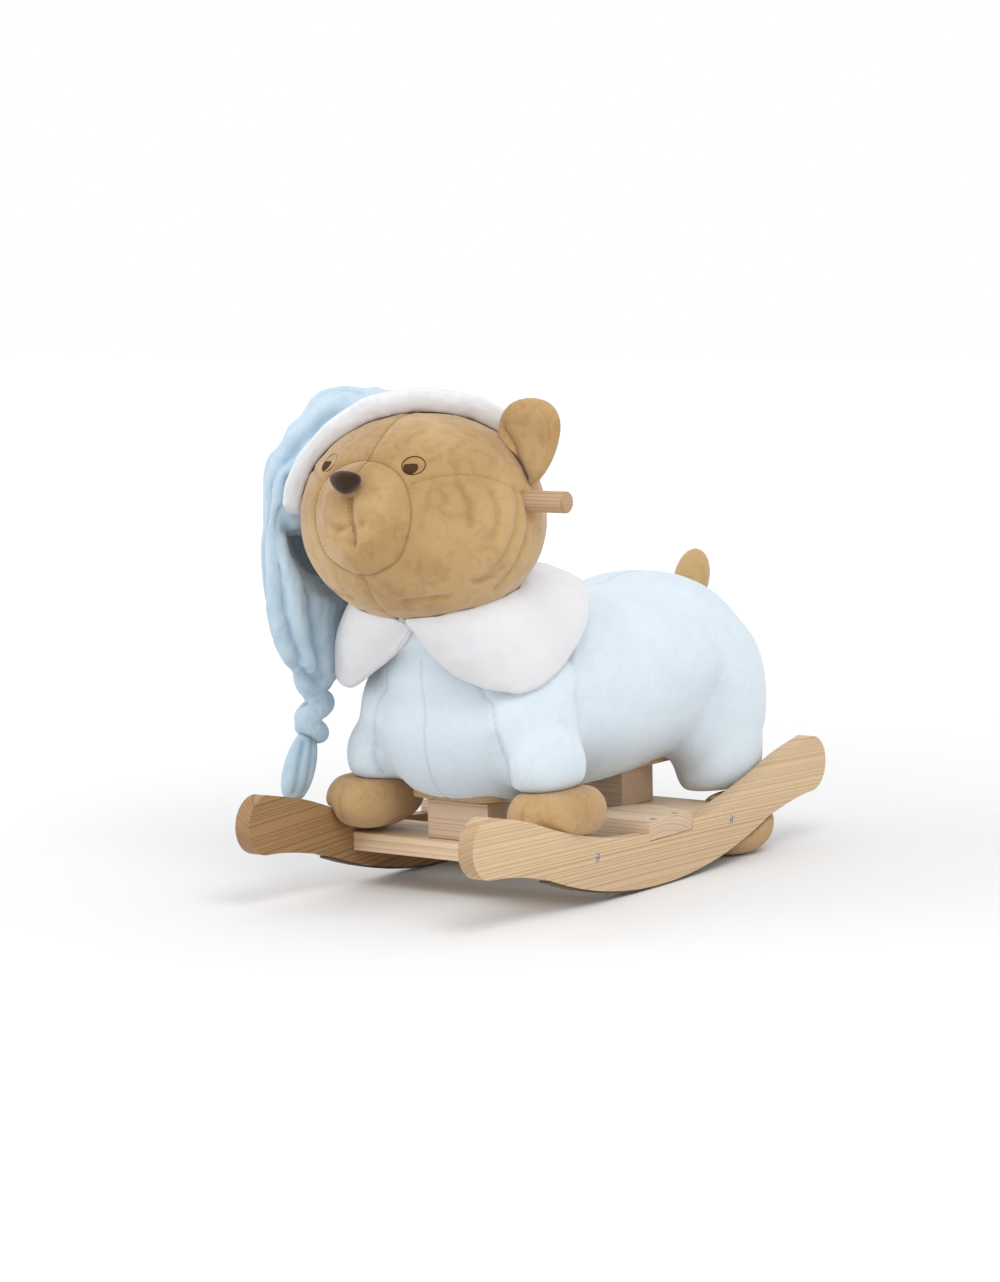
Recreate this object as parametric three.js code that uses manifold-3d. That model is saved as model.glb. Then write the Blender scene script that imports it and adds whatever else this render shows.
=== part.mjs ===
// Plush bear on wooden rockers: a ride-on rocker for a toddler.
// Units are millimetres. +Z is up, the toy faces -Y and its left side is +X.
// Z = 0 is the floor, Y = 0 the lowest point of the rocker's arc.
import * as THREE from 'three';
import { mergeVertices } from 'three/addons/utils/BufferGeometryUtils.js';
import Module from 'manifold-3d';

const wasm = await Module();
wasm.setup();

// ---------------------------------------------------------------- driving dimensions
const GAP = 0.35;                  // clearance between pieces that touch
const SOFT_GAP = 1.2;              // clearance between stuffed pieces

// rockers
const ROCKER_SPREAD = 300;         // over the outer faces
const ROCKER_THICK = 18;
const ROCKER_LENGTH = 681;
const ROCKER_ARC = 600;            // radius of the rolling edge
const ROCKER_ARC_HALF = 215;       // the arc runs this far each way from the lowest point
const ROCKER_DEPTH = 55;           // height of the board at its middle
const HORN_RADIUS = 31;            // round ends
const HORN_HEIGHT = 88;            // height of the horn's centre
const GLIDE_THICK = 2.5;
const GLIDE_HALF = 205;            // the glide strip runs this far each way
const GLIDE_INSET = 2;             // strip narrower than the board, each side

// boards between the rockers
const BOARD_THICK = 20;
const BOARD_WIDTH = 88;
const BOARD_BOTTOM = 40;
const BOARD_FRONT_Y = -124;
const BOARD_REAR_Y = 136;
const BLOCK_WIDTH = 78;
const BLOCK_DEPTH = 62;
const BLOCK_HEIGHT = 41;
const BLOCK_FRONT_Y = -129;
const BLOCK_REAR_Y = 122;

// footrest
const FOOTREST_FRONT = -24;
const FOOTREST_END_REAR = 58;      // rear edge at the ends
const FOOTREST_SWELL_REAR = 72;    // rear edge where the foot stands
const FOOTREST_WAIST_REAR = 26;    // rear edge under the belly
const FOOTREST_SWELL_X = 88;
const FOOTREST_WAIST_X = 50;
const FOOTREST_BOTTOM = 51.5;
const FOOTREST_THICK = 20;

// inner frame
const SEAT_THICK = 12;
const SEAT_WIDTH = 112;
const SEAT_FRONT = -178;
const SEAT_REAR = 210;
const COVER_THICK = 3;
const COVER_MARGIN = 4;
const POST_THICK = 18;
const POST_WIDTH = 60;               // front to rear
const POST_LEAN = 38;                // the head end stands this far in front of the foot
const POST_FRONT_INSET = 6;          // the post's foot oversails the seat board in front
const POST_BEND = [119, 213];        // the post leans forward between these heights above the seat
const POST_ABOVE_DOWEL = 30;
const DOWEL_RADIUS = 11;
const DOWEL_OUTSIDE = 22;            // the handle reaches this far past the cap's hanging end
const DOWEL_Y = -198;
const DOWEL_ABOVE_SEAT = 304;

// screws
const SCREW_SHANK = 2.2;
const SCREW_HEAD = 4.3;
const ROCKER_SCREW = 50;
const FOOTREST_SCREW = 40;
const BLOCK_SCREW = 74;
const POST_SCREW = 45;
const LOCK_SCREW = 34;
const SCREW_TIP = 6;
const RECESS_WIDTH = 1;
const RECESS_DEPTH = 1.6;
const SCREW_SIDES = 8;

// stuffed body
const TORSO_LENGTH = 528;
const TORSO_HEIGHT = 208;
const TORSO_SINK = 9;              // how far the seat board sits up inside the torso
const PAW_Y = -147;
const FOOT_Y = 203;
const FOOT_CLEAR = 2;              // the rear feet hang this far above the floor
const COLLAR_THICK = 7;
const COLLAR_LIFT = 2;
const COLLAR_SPLIT = 6;

// head and cap
const HEAD_WIDTH = 264;
const HEAD_DEPTH = 236;
const HEAD_HEIGHT = 220;
const CROWN_THICK = 14;
const BRIM_THICK = 24;
const BRIM_WIDTH = 34;

// ---------------------------------------------------------------- finishes
const finish = (color, roughness, metalness = 0) =>
  new THREE.MeshStandardMaterial({ color, roughness, metalness });
const PINE = finish('#d9bc94', 0.55);
const INNER_PINE = finish('#a9814f', 0.6);
const FELT = finish('#6b5a45', 0.95);
const STEEL = finish('#b9bcc0', 0.35, 0.9);
const BLUE_PLUSH = finish('#d5e3ee', 0.95);
const CAP_PLUSH = finish('#bfddf0', 0.95);
const WHITE_PLUSH = finish('#e6e6ea', 0.95);
const VELOUR = finish('#c8a878', 0.9);
const PAW_PLUSH = finish('#c9a26b', 0.92);
const NOSE_VELVET = finish('#3e2712', 0.85);

// ---------------------------------------------------------------- solids
function solidOf(geometry) {
  const bare = geometry.index ? geometry.toNonIndexed() : geometry.clone();
  bare.deleteAttribute('normal');
  bare.deleteAttribute('uv');
  const welded = mergeVertices(bare, 1e-4);
  return new wasm.Manifold(new wasm.Mesh({
    numProp: 3,
    vertProperties: new Float32Array(welded.attributes.position.array),
    triVerts: new Uint32Array(welded.index.array),
  }));
}

function geometryOf(solid) {
  const mesh = solid.getMesh();
  const geometry = new THREE.BufferGeometry();
  geometry.setAttribute('position', new THREE.BufferAttribute(mesh.vertProperties.slice(), 3));
  geometry.setIndex(new THREE.BufferAttribute(mesh.triVerts.slice(), 1));
  geometry.computeVertexNormals();
  return geometry;
}

// the one outer body of a cut, without the slivers that a cut can leave
function mainBody(solid) {
  const pieces = solid.decompose();
  return pieces.reduce((best, piece) => (piece.volume() > best.volume() ? piece : best));
}

function cut(solid, cutters) {
  return mainBody(cutters.reduce((rest, cutter) => rest.subtract(cutter), solid));
}

function box(low, high) {
  const size = high.map((value, i) => value - low[i]);
  const geometry = new THREE.BoxGeometry(...size);
  geometry.translate(...low.map((value, i) => value + size[i] / 2));
  return solidOf(geometry);
}

// a board seen from above: outline in X and Y, raised from z0 to z1
function flatBoard(shape, z0, z1, steps = 10) {
  const geometry = new THREE.ExtrudeGeometry(shape, { depth: z1 - z0, bevelEnabled: false, curveSegments: steps });
  geometry.translate(0, 0, z0);
  return solidOf(geometry);
}

// a board seen from the side: outline in Y and Z, raised from x0 to x1
function uprightBoard(shape, x0, x1, steps = 10) {
  const geometry = new THREE.ExtrudeGeometry(shape, { depth: x1 - x0, bevelEnabled: false, curveSegments: steps });
  geometry.applyMatrix4(new THREE.Matrix4().makeBasis(
    new THREE.Vector3(0, 1, 0), new THREE.Vector3(0, 0, 1), new THREE.Vector3(1, 0, 0)));
  geometry.translate(x0, 0, 0);
  return solidOf(geometry);
}

const SOFT_SIDES = 20;
const SOFT_RINGS = 12;
const TORSO_SIDES = 24;
const TORSO_RINGS = 16;

// a stuffed shape: a ball drawn out towards a rounded box by the two powers
function stuffed({ at, radii, side, end, turn = 0, lean = 0 }, grow = 0, sides = SOFT_SIDES, rings = SOFT_RINGS) {
  const geometry = new THREE.SphereGeometry(1, sides, rings);
  const position = geometry.attributes.position;
  const point = new THREE.Vector3();
  for (let i = 0; i < position.count; i += 1) {
    point.fromBufferAttribute(position, i);
    const round = (Math.abs(point.x) ** side + Math.abs(point.z) ** side) ** (end / side);
    point.multiplyScalar((round + Math.abs(point.y) ** end) ** (-1 / end));
    position.setXYZ(i, point.x, point.y, point.z);
  }
  geometry.scale(...radii.map((radius) => radius + grow));
  geometry.rotateX(THREE.MathUtils.degToRad(-lean));
  geometry.rotateZ(THREE.MathUtils.degToRad(turn));
  geometry.translate(...at);
  return solidOf(geometry);
}

function mirrored(spec) {
  return { ...spec, at: [-spec.at[0], spec.at[1], spec.at[2]], turn: -(spec.turn ?? 0) };
}

// everything on the low side of a plane, as a large slab
function halfSpace(normal, distance) {
  const SLAB = 3000;
  const geometry = new THREE.BoxGeometry(SLAB, SLAB, SLAB);
  geometry.translate(0, 0, -SLAB / 2);
  geometry.applyQuaternion(new THREE.Quaternion().setFromUnitVectors(new THREE.Vector3(0, 0, 1), normal));
  geometry.translate(...normal.clone().multiplyScalar(distance).toArray());
  return solidOf(geometry);
}

// ---------------------------------------------------------------- assembly helpers
const group = new THREE.Group();
const pieces = new THREE.Group();
group.add(pieces);

function place(name, solid, material) {
  const mesh = new THREE.Mesh(geometryOf(solid), material);
  mesh.name = name;
  pieces.add(mesh);
  return solid;
}

const SIDES = [['left', 1], ['right', -1]];

// ---------------------------------------------------------------- rockers
const rockerInner = ROCKER_SPREAD / 2 - ROCKER_THICK;
const rockerOuter = ROCKER_SPREAD / 2;
const hornY = ROCKER_LENGTH / 2 - HORN_RADIUS;
const arcCentreZ = GLIDE_THICK + ROCKER_ARC;
const arcAngle = Math.asin(ROCKER_ARC_HALF / ROCKER_ARC);

function arcPoint(angle, radius = ROCKER_ARC) {
  return new THREE.Vector2(radius * Math.sin(angle), arcCentreZ - radius * Math.cos(angle));
}

// half of the side outline, from the arc's end round the horn to the top middle
const TOP_RUN = [[0.808, 0.797], [0.582, 0.439], [0.291, 0.122]];   // share of the reach, share of the rise
const THROAT_BACK = 22;
const THROAT_RISE = 1.5;
const rockerDip = GLIDE_THICK + ROCKER_DEPTH;
const rockerRise = HORN_HEIGHT + HORN_RADIUS - rockerDip;

function topRun(way) {
  const between = TOP_RUN.map(([reach, rise]) =>
    new THREE.Vector2(way * hornY * reach, rockerDip + rockerRise * rise));
  return new THREE.SplineCurve([new THREE.Vector2(way * hornY, HORN_HEIGHT + HORN_RADIUS), ...between,
    new THREE.Vector2(0, rockerDip)]).getPoints(14);
}

// height of the rocker's top edge at a distance from its middle
function rockerTopAt(y) {
  const run = topRun(1);
  const i = run.findIndex((point) => point.x <= Math.abs(y));
  const share = (Math.abs(y) - run[i].x) / (run[i - 1].x - run[i].x);
  return run[i].y + share * (run[i - 1].y - run[i].y);
}

function hornOutline(way) {
  const arcEnd = arcPoint(arcAngle * way);
  const throat = new THREE.Vector2(way * (hornY - THROAT_BACK), HORN_HEIGHT - HORN_RADIUS - THROAT_RISE);
  const underHorn = new THREE.Vector2(way * hornY, HORN_HEIGHT - HORN_RADIUS);
  const lower = new THREE.SplineCurve([arcEnd, arcEnd.clone().lerp(throat, 0.55).add(new THREE.Vector2(0, 1)),
    throat, underHorn]).getPoints(7);
  const round = [];
  for (let i = 1; i < 9; i += 1) {
    const angle = -Math.PI / 2 + (Math.PI * i) / 9;
    round.push(new THREE.Vector2(way * (hornY + HORN_RADIUS * Math.cos(angle)),
      HORN_HEIGHT + HORN_RADIUS * Math.sin(angle)));
  }
  return [...lower, ...round, ...topRun(way)];
}

function rockerShape() {
  const bottom = [];
  for (let i = -9; i <= 9; i += 1) bottom.push(arcPoint((arcAngle * i) / 9));
  const rear = hornOutline(1).slice(1);
  const front = hornOutline(-1).slice(1, -1).reverse();
  return new THREE.Shape([...bottom, ...rear, ...front]);
}

function glideShape() {
  const half = Math.asin(GLIDE_HALF / ROCKER_ARC);
  const inner = ROCKER_ARC + GAP;
  const outer = ROCKER_ARC + GLIDE_THICK;
  const points = [];
  for (let i = -8; i <= 8; i += 1) points.push(arcPoint((half * i) / 8, outer));
  for (let i = 8; i >= -8; i -= 1) points.push(arcPoint((half * i) / 8, inner));
  return new THREE.Shape(points);
}

// ---------------------------------------------------------------- footrest outline
function footrestShape(grow = 0) {
  const shape = new THREE.Shape();
  const end = rockerOuter + grow;
  shape.moveTo(-end, FOOTREST_FRONT - grow);
  shape.lineTo(end, FOOTREST_FRONT - grow);
  shape.lineTo(end, FOOTREST_END_REAR + grow);
  shape.bezierCurveTo(end - 22, FOOTREST_END_REAR + grow, FOOTREST_SWELL_X + 24, FOOTREST_SWELL_REAR + grow,
    FOOTREST_SWELL_X, FOOTREST_SWELL_REAR + grow);
  shape.bezierCurveTo(FOOTREST_SWELL_X - 20, FOOTREST_SWELL_REAR + grow, FOOTREST_WAIST_X + 12,
    FOOTREST_WAIST_REAR + grow, FOOTREST_WAIST_X, FOOTREST_WAIST_REAR + grow);
  shape.lineTo(-FOOTREST_WAIST_X, FOOTREST_WAIST_REAR + grow);
  shape.bezierCurveTo(-FOOTREST_WAIST_X - 12, FOOTREST_WAIST_REAR + grow, -FOOTREST_SWELL_X + 20,
    FOOTREST_SWELL_REAR + grow, -FOOTREST_SWELL_X, FOOTREST_SWELL_REAR + grow);
  shape.bezierCurveTo(-FOOTREST_SWELL_X - 24, FOOTREST_SWELL_REAR + grow, -end + 22, FOOTREST_END_REAR + grow,
    -end, FOOTREST_END_REAR + grow);
  shape.closePath();
  return shape;
}

// ---------------------------------------------------------------- screws
// countersunk wood screw; the head's flat face is at `at` and the shank points along `way`
function screwSolid(at, way, length, grow = 0) {
  const head = SCREW_HEAD + grow;
  const shank = SCREW_SHANK + grow;
  const profile = [
    new THREE.Vector2(0, grow ? -1 : 0),
    new THREE.Vector2(head, grow ? -1 : 0),
    new THREE.Vector2(head, 0.4),
    new THREE.Vector2(shank, 0.4 + SCREW_HEAD - SCREW_SHANK),
    new THREE.Vector2(shank, length - SCREW_TIP + grow),
    new THREE.Vector2(0.6 + grow, length + grow),
    new THREE.Vector2(0, length + grow),
  ];
  const geometry = new THREE.LatheGeometry(profile, SCREW_SIDES);
  let solid = solidOf(geometry);
  if (grow === 0) {
    const arm = SCREW_HEAD * 0.55;
    const slots = [[arm, RECESS_WIDTH / 2], [RECESS_WIDTH / 2, arm]];
    for (const [x, z] of slots) solid = solid.subtract(box([-x, -1, -z], [x, RECESS_DEPTH, z]));
  }
  const turn = new THREE.Quaternion().setFromUnitVectors(new THREE.Vector3(0, 1, 0), new THREE.Vector3(...way));
  const matrix = new THREE.Matrix4().compose(new THREE.Vector3(...at), turn, new THREE.Vector3(1, 1, 1));
  return solid.transform(matrix.toArray());
}

const screws = [];
function addScrew(name, at, way, length) {
  const sunk = at.map((value, i) => value + way[i] * GAP);
  screws.push({ name, solid: screwSolid(sunk, way, length), hole: screwSolid(sunk, way, length, GAP) });
}

const boardMiddle = BOARD_BOTTOM + BOARD_THICK / 2;
const footrestTop = FOOTREST_BOTTOM + FOOTREST_THICK;
const blockBottom = BOARD_BOTTOM + BOARD_THICK + GAP;
const blockTop = blockBottom + BLOCK_HEIGHT;
const coverBottom = blockTop + GAP;
const seatBottom = coverBottom + COVER_THICK + GAP;
const seatTop = seatBottom + SEAT_THICK;
const dowelZ = seatTop + DOWEL_ABOVE_SEAT;
const headX = HEAD_WIDTH / 2;
const capSide = Math.max(headX + 18, rockerOuter);   // the cap's end hangs clear of head and sleeve
const dowelLength = 2 * (capSide + DOWEL_OUTSIDE);
const postTop = dowelZ + POST_ABOVE_DOWEL;
const postFoot = [SEAT_FRONT - POST_FRONT_INSET, SEAT_FRONT - POST_FRONT_INSET + POST_WIDTH];
const postHead = postFoot.map((edge) => edge - POST_LEAN);

const FOOTREST_SCREW_INSET = 20;
for (const [side, way] of SIDES) {
  addScrew(`rocker_screw_${side}_front`, [way * rockerOuter, BOARD_FRONT_Y, boardMiddle], [-way, 0, 0], ROCKER_SCREW);
  addScrew(`rocker_screw_${side}_rear`, [way * rockerOuter, BOARD_REAR_Y, boardMiddle], [-way, 0, 0], ROCKER_SCREW);
  const overRocker = way * (rockerOuter - ROCKER_THICK / 2);
  const rows = [['front', FOOTREST_FRONT + FOOTREST_SCREW_INSET], ['rear', FOOTREST_END_REAR - FOOTREST_SCREW_INSET]];
  for (const [row, y] of rows) {
    addScrew(`footrest_screw_${side}_${row}`, [overRocker, y, footrestTop], [0, 0, -1], FOOTREST_SCREW);
  }
  const blocks = [['front', BLOCK_FRONT_Y], ['rear', BLOCK_REAR_Y]];
  for (const [row, y] of blocks) {
    addScrew(`block_screw_${side}_${row}`, [(way * BLOCK_WIDTH) / 4, y, BOARD_BOTTOM], [0, 0, 1], BLOCK_SCREW);
  }
}
const POST_SCREW_INSET = 15;
const postScrews = [['front', postFoot[0] + POST_SCREW_INSET], ['rear', postFoot[1] - POST_SCREW_INSET]];
for (const [row, y] of postScrews) addScrew(`post_screw_${row}`, [0, y, seatBottom], [0, 0, 1], POST_SCREW);
addScrew('dowel_lock_screw', [0, DOWEL_Y, postTop], [0, 0, -1], LOCK_SCREW);
const screwHoles = screws.map((screw) => screw.hole);

// ---------------------------------------------------------------- wooden pieces
const notch = flatBoard(footrestShape(GAP), FOOTREST_BOTTOM - GAP, HORN_HEIGHT + 2 * HORN_RADIUS);
for (const [side, way] of SIDES) {
  const low = Math.min(way * rockerInner, way * rockerOuter);
  const blank = uprightBoard(rockerShape(), low, low + ROCKER_THICK);
  place(`${side}_rocker`, cut(blank, [notch, ...screwHoles]), PINE);
  place(`${side}_glide_strip`, uprightBoard(glideShape(), low + GLIDE_INSET, low + ROCKER_THICK - GLIDE_INSET), FELT);
}
// room that the stuffing leaves round each rocker and its glide strip
const rockerGrown = SIDES.map(([, way]) => {
  const low = Math.min(way * rockerInner, way * rockerOuter);
  const wide = uprightBoard(rockerShape(), low - SOFT_GAP, low + ROCKER_THICK + SOFT_GAP);
  const lifts = [SOFT_GAP, 0, -GLIDE_THICK - SOFT_GAP];
  return lifts.map((lift) => wide.translate([0, 0, lift])).reduce((all, one) => all.add(one));
});

for (const [row, y] of [['front', BOARD_FRONT_Y], ['rear', BOARD_REAR_Y]]) {
  const board = box([-rockerInner + GAP, y - BOARD_WIDTH / 2, BOARD_BOTTOM],
    [rockerInner - GAP, y + BOARD_WIDTH / 2, BOARD_BOTTOM + BOARD_THICK]);
  place(`${row}_cross_board`, cut(board, screwHoles), PINE);
}
for (const [row, y] of [['front', BLOCK_FRONT_Y], ['rear', BLOCK_REAR_Y]]) {
  const block = box([-BLOCK_WIDTH / 2, y - BLOCK_DEPTH / 2, blockBottom],
    [BLOCK_WIDTH / 2, y + BLOCK_DEPTH / 2, blockTop]);
  place(`${row}_support_block`, cut(block, screwHoles), INNER_PINE);
}
place('footrest_plank', cut(flatBoard(footrestShape(), FOOTREST_BOTTOM, footrestTop), screwHoles), PINE);

function seatShape(grow = 0) {
  const half = SEAT_WIDTH / 2 + grow;
  const shape = new THREE.Shape();
  const corner = 30;
  shape.moveTo(-half + corner, SEAT_FRONT - grow);
  shape.lineTo(half - corner, SEAT_FRONT - grow);
  shape.quadraticCurveTo(half, SEAT_FRONT - grow, half, SEAT_FRONT - grow + corner);
  shape.lineTo(half, SEAT_REAR + grow - corner);
  shape.quadraticCurveTo(half, SEAT_REAR + grow, half - corner, SEAT_REAR + grow);
  shape.lineTo(-half + corner, SEAT_REAR + grow);
  shape.quadraticCurveTo(-half, SEAT_REAR + grow, -half, SEAT_REAR + grow - corner);
  shape.lineTo(-half, SEAT_FRONT - grow + corner);
  shape.quadraticCurveTo(-half, SEAT_FRONT - grow, -half + corner, SEAT_FRONT - grow);
  return shape;
}
place('seat_board', cut(flatBoard(seatShape(), seatBottom, seatTop, 5), screwHoles), INNER_PINE);

function dowelSolid(radius, length) {
  const geometry = new THREE.LatheGeometry([
    new THREE.Vector2(0, -length / 2),
    new THREE.Vector2(radius - 4, -length / 2),
    new THREE.Vector2(radius - 1, -length / 2 + 1.5),
    new THREE.Vector2(radius, -length / 2 + 5),
    new THREE.Vector2(radius, length / 2 - 5),
    new THREE.Vector2(radius - 1, length / 2 - 1.5),
    new THREE.Vector2(radius - 4, length / 2),
    new THREE.Vector2(0, length / 2),
  ], 20);
  geometry.rotateZ(-Math.PI / 2);
  geometry.translate(0, DOWEL_Y, dowelZ);
  return solidOf(geometry);
}
place('handle_dowel', cut(dowelSolid(DOWEL_RADIUS, dowelLength), screwHoles), PINE);
const dowelGrown = dowelSolid(DOWEL_RADIUS + SOFT_GAP, dowelLength + 2 * SOFT_GAP);

const POST_CORNER = 14;
function postShape(grow = 0) {
  const foot = [postFoot[0] - grow, postFoot[1] + grow];
  const head = [postHead[0] - grow, postHead[1] + grow];
  const bend = POST_BEND.map((height) => seatTop + height);
  const top = postTop + grow;
  const shape = new THREE.Shape();
  shape.moveTo(foot[0], seatTop + GAP - grow);
  shape.lineTo(foot[1], seatTop + GAP - grow);
  shape.lineTo(foot[1], bend[0]);
  shape.lineTo(head[1], bend[1]);
  shape.lineTo(head[1], top - POST_CORNER);
  shape.quadraticCurveTo(head[1], top, head[1] - POST_CORNER, top);
  shape.lineTo(head[0] + POST_CORNER, top);
  shape.quadraticCurveTo(head[0], top, head[0], top - POST_CORNER);
  shape.lineTo(head[0], bend[1]);
  shape.lineTo(foot[0], bend[0]);
  shape.closePath();
  return shape;
}
const postBlank = uprightBoard(postShape(), -POST_THICK / 2, POST_THICK / 2, 5);
place('head_post', cut(postBlank, [dowelSolid(DOWEL_RADIUS + GAP, dowelLength), ...screwHoles]), INNER_PINE);
for (const screw of screws) place(screw.name, screw.solid, STEEL);

// room for the frame inside the stuffing, open downwards
const postRoom = uprightBoard(postShape(SOFT_GAP), -POST_THICK / 2 - SOFT_GAP, POST_THICK / 2 + SOFT_GAP, 5);
const seatRoom = flatBoard(seatShape(SOFT_GAP), coverBottom - 40, seatTop + SOFT_GAP, 5);
const frameRoom = [postRoom, seatRoom, dowelGrown];

// ---------------------------------------------------------------- stuffing shapes
// each has a middle, half sizes, and how square its sides and ends are
const pawZ = rockerTopAt(PAW_Y) + 20.5;
const cuffZ = pawZ + 24;           // where sleeve meets paw
const ANKLE_Z = 70;                // where thigh meets foot
const torsoZ = seatBottom - TORSO_SINK + TORSO_HEIGHT / 2;
const torsoRadii = [rockerInner - 1, TORSO_LENGTH / 2, TORSO_HEIGHT / 2];
const TORSO = { at: [0, 48, torsoZ], radii: torsoRadii, side: 2.4, end: 2.7, lean: -2 };
const PAW = { at: [rockerOuter - 33, PAW_Y, pawZ], radii: [42, 63, 33], side: 2.2, end: 2.3 };
const SLEEVE = { at: [rockerOuter - 40, PAW_Y + 1, cuffZ + 29], radii: [40, 52, 46], side: 2.2, end: 2.4 };
const thighEdges = [SEAT_WIDTH / 2 - 12, rockerInner - 4];
const thighX = (thighEdges[0] + thighEdges[1]) / 2;
const thighRadii = [thighEdges[1] - thighX, 62, 66];
const THIGH = { at: [thighX, FOOT_Y + 11, ANKLE_Z + 42], radii: thighRadii, side: 2.3, end: 2.4 };
const FOOT = { at: [rockerOuter - 38, FOOT_Y, 34], radii: [38, 55, 36], side: 2.3, end: 2.3 };
const TAIL = { at: [0, 250 + TORSO.at[1], torsoZ + 90], radii: [21, 18, 38], side: 2.1, end: 2.4, lean: 24 };
const NECK = { at: [0, -200 + TORSO.at[1], torsoZ + 98], radii: [103, 92, 52], side: 2, end: 2.4 };
const COLLAR_LOBE = { at: [64, NECK.at[1] + 6, NECK.at[2] + 4], radii: [88, 112, 84], side: 2, end: 2 };

const headFront = DOWEL_Y - 10 - HEAD_DEPTH / 2;
const headZ = dowelZ - 20;
const headTop = headZ + HEAD_HEIGHT / 2;
const HEAD = { at: [0, DOWEL_Y - 10, headZ], radii: [headX, HEAD_DEPTH / 2, HEAD_HEIGHT / 2], side: 2.05, end: 2.05 };
const MUZZLE = { at: [0, headFront + 29, headZ + 4], radii: [58, 38, 62], side: 2, end: 2 };
const NOSE = { at: [0, headFront - 10, headZ + 45], radii: [20, 12, 13], side: 2, end: 2 };
const EAR = { at: [headX - 11, DOWEL_Y + 8, headTop - 31], radii: [38, 15, 43], side: 2.3, end: 2.3, turn: -8 };
const crownEdges = [11 - capSide, headX - 77];
const crownX = (crownEdges[0] + crownEdges[1]) / 2;
const crownRadii = [crownEdges[1] - crownX, 98, 110];
const CROWN = { at: [crownX, DOWEL_Y + 38, headZ + 32], radii: crownRadii, side: 2.3, end: 2.3 };
const CAP_TAIL = { at: [-capSide, DOWEL_Y + 5, headZ - 51], radii: [33, 79, 130], side: 2.3, end: 2.3 };
const CAP_TAIL_HOLLOW = { at: [-capSide + 10, DOWEL_Y + 5, headZ - 3], radii: [35, 56, 64], side: 2.3, end: 2.3 };
const KNOT = { at: [-capSide - 6, CAP_TAIL.at[1] - 5, headZ - 214], radii: [16, 21, 34], side: 2, end: 2 };
const TIP = { at: [-capSide - 18, CAP_TAIL.at[1] - 25, headZ - 275], radii: [14, 18, 31], side: 2, end: 2.2 };

// ---------------------------------------------------------------- stuffed body
const FAR = 1000;                   // beyond every part of the toy
const belowSeat = box([-FAR, -FAR, -FAR], [FAR, FAR, seatBottom]);
const coverBlank = flatBoard(seatShape(COVER_MARGIN), coverBottom, coverBottom + COVER_THICK, 5);
place('underside_cover', cut(coverBlank, screwHoles), BLUE_PLUSH);
place('torso', cut(stuffed(TORSO, 0, TORSO_SIDES, TORSO_RINGS), [belowSeat, ...frameRoom]), BLUE_PLUSH);
const torsoGrown = stuffed(TORSO, SOFT_GAP, TORSO_SIDES, TORSO_RINGS);
const torsoKeep = torsoGrown.subtract(box([-FAR, -FAR, -FAR], [FAR, FAR, seatBottom - SOFT_GAP]));
const coverGrown = flatBoard(seatShape(COVER_MARGIN + SOFT_GAP), coverBottom - SOFT_GAP, seatBottom, 5);

const boardsGrown = [['front', BOARD_FRONT_Y], ['rear', BOARD_REAR_Y]].map(([, y]) =>
  box([-rockerInner, y - BOARD_WIDTH / 2 - SOFT_GAP, BOARD_BOTTOM - SOFT_GAP],
    [rockerInner, y + BOARD_WIDTH / 2 + SOFT_GAP, BOARD_BOTTOM + BOARD_THICK + SOFT_GAP]));
const blocksGrown = [BLOCK_FRONT_Y, BLOCK_REAR_Y].map((y) =>
  box([-BLOCK_WIDTH / 2 - SOFT_GAP, y - BLOCK_DEPTH / 2 - SOFT_GAP, BOARD_BOTTOM],
    [BLOCK_WIDTH / 2 + SOFT_GAP, y + BLOCK_DEPTH / 2 + SOFT_GAP, blockTop + SOFT_GAP]));
const footrestGrown = flatBoard(footrestShape(SOFT_GAP), FOOTREST_BOTTOM - SOFT_GAP, footrestTop + SOFT_GAP);
const underframe = [...rockerGrown, ...boardsGrown, ...blocksGrown, footrestGrown, coverGrown, seatRoom];

const above = (z) => box([-FAR, -FAR, z], [FAR, FAR, FAR]);
const below = (z) => box([-FAR, -FAR, -FAR], [FAR, FAR, z]);
const sleevesGrown = stuffed(SLEEVE, SOFT_GAP).add(stuffed(mirrored(SLEEVE), SOFT_GAP));
for (const [side, way] of SIDES) {
  const at = (spec) => (way > 0 ? spec : mirrored(spec));
  place(`${side}_sleeve`,
    cut(stuffed(at(SLEEVE)), [torsoKeep, below(cuffZ + SOFT_GAP), ...underframe]), BLUE_PLUSH);
  place(`${side}_front_paw`, cut(stuffed(at(PAW)), [torsoKeep, above(cuffZ), ...underframe]), PAW_PLUSH);
  place(`${side}_thigh`, cut(stuffed(at(THIGH)), [torsoKeep, below(ANKLE_Z + SOFT_GAP), ...underframe]), BLUE_PLUSH);
  const footCutters = [torsoKeep, above(ANKLE_Z), below(FOOT_CLEAR), ...underframe];
  place(`${side}_rear_foot`, cut(stuffed(at(FOOT)), footCutters), PAW_PLUSH);
}
place('tail', cut(stuffed(TAIL, 0, 16, 10), [torsoKeep]), PAW_PLUSH);

// ---------------------------------------------------------------- head
const headGrown = stuffed(HEAD, SOFT_GAP);
const ears = { left: EAR, right: mirrored(EAR) };
const muzzleGrown = stuffed(MUZZLE, SOFT_GAP);
place('neck', cut(stuffed(NECK), [torsoKeep, headGrown, postRoom]), VELOUR);
place('head', cut(stuffed(HEAD), [postRoom, dowelGrown, muzzleGrown]), VELOUR);
place('muzzle', cut(stuffed(MUZZLE), [stuffed(NOSE, SOFT_GAP, 12, 8)]), VELOUR);
place('nose', stuffed(NOSE, 0, 12, 8), NOSE_VELVET);
for (const [side] of SIDES) {
  place(`${side}_ear`, cut(stuffed(ears[side], 0, 16, 10), [headGrown, dowelGrown]), VELOUR);
}

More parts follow.
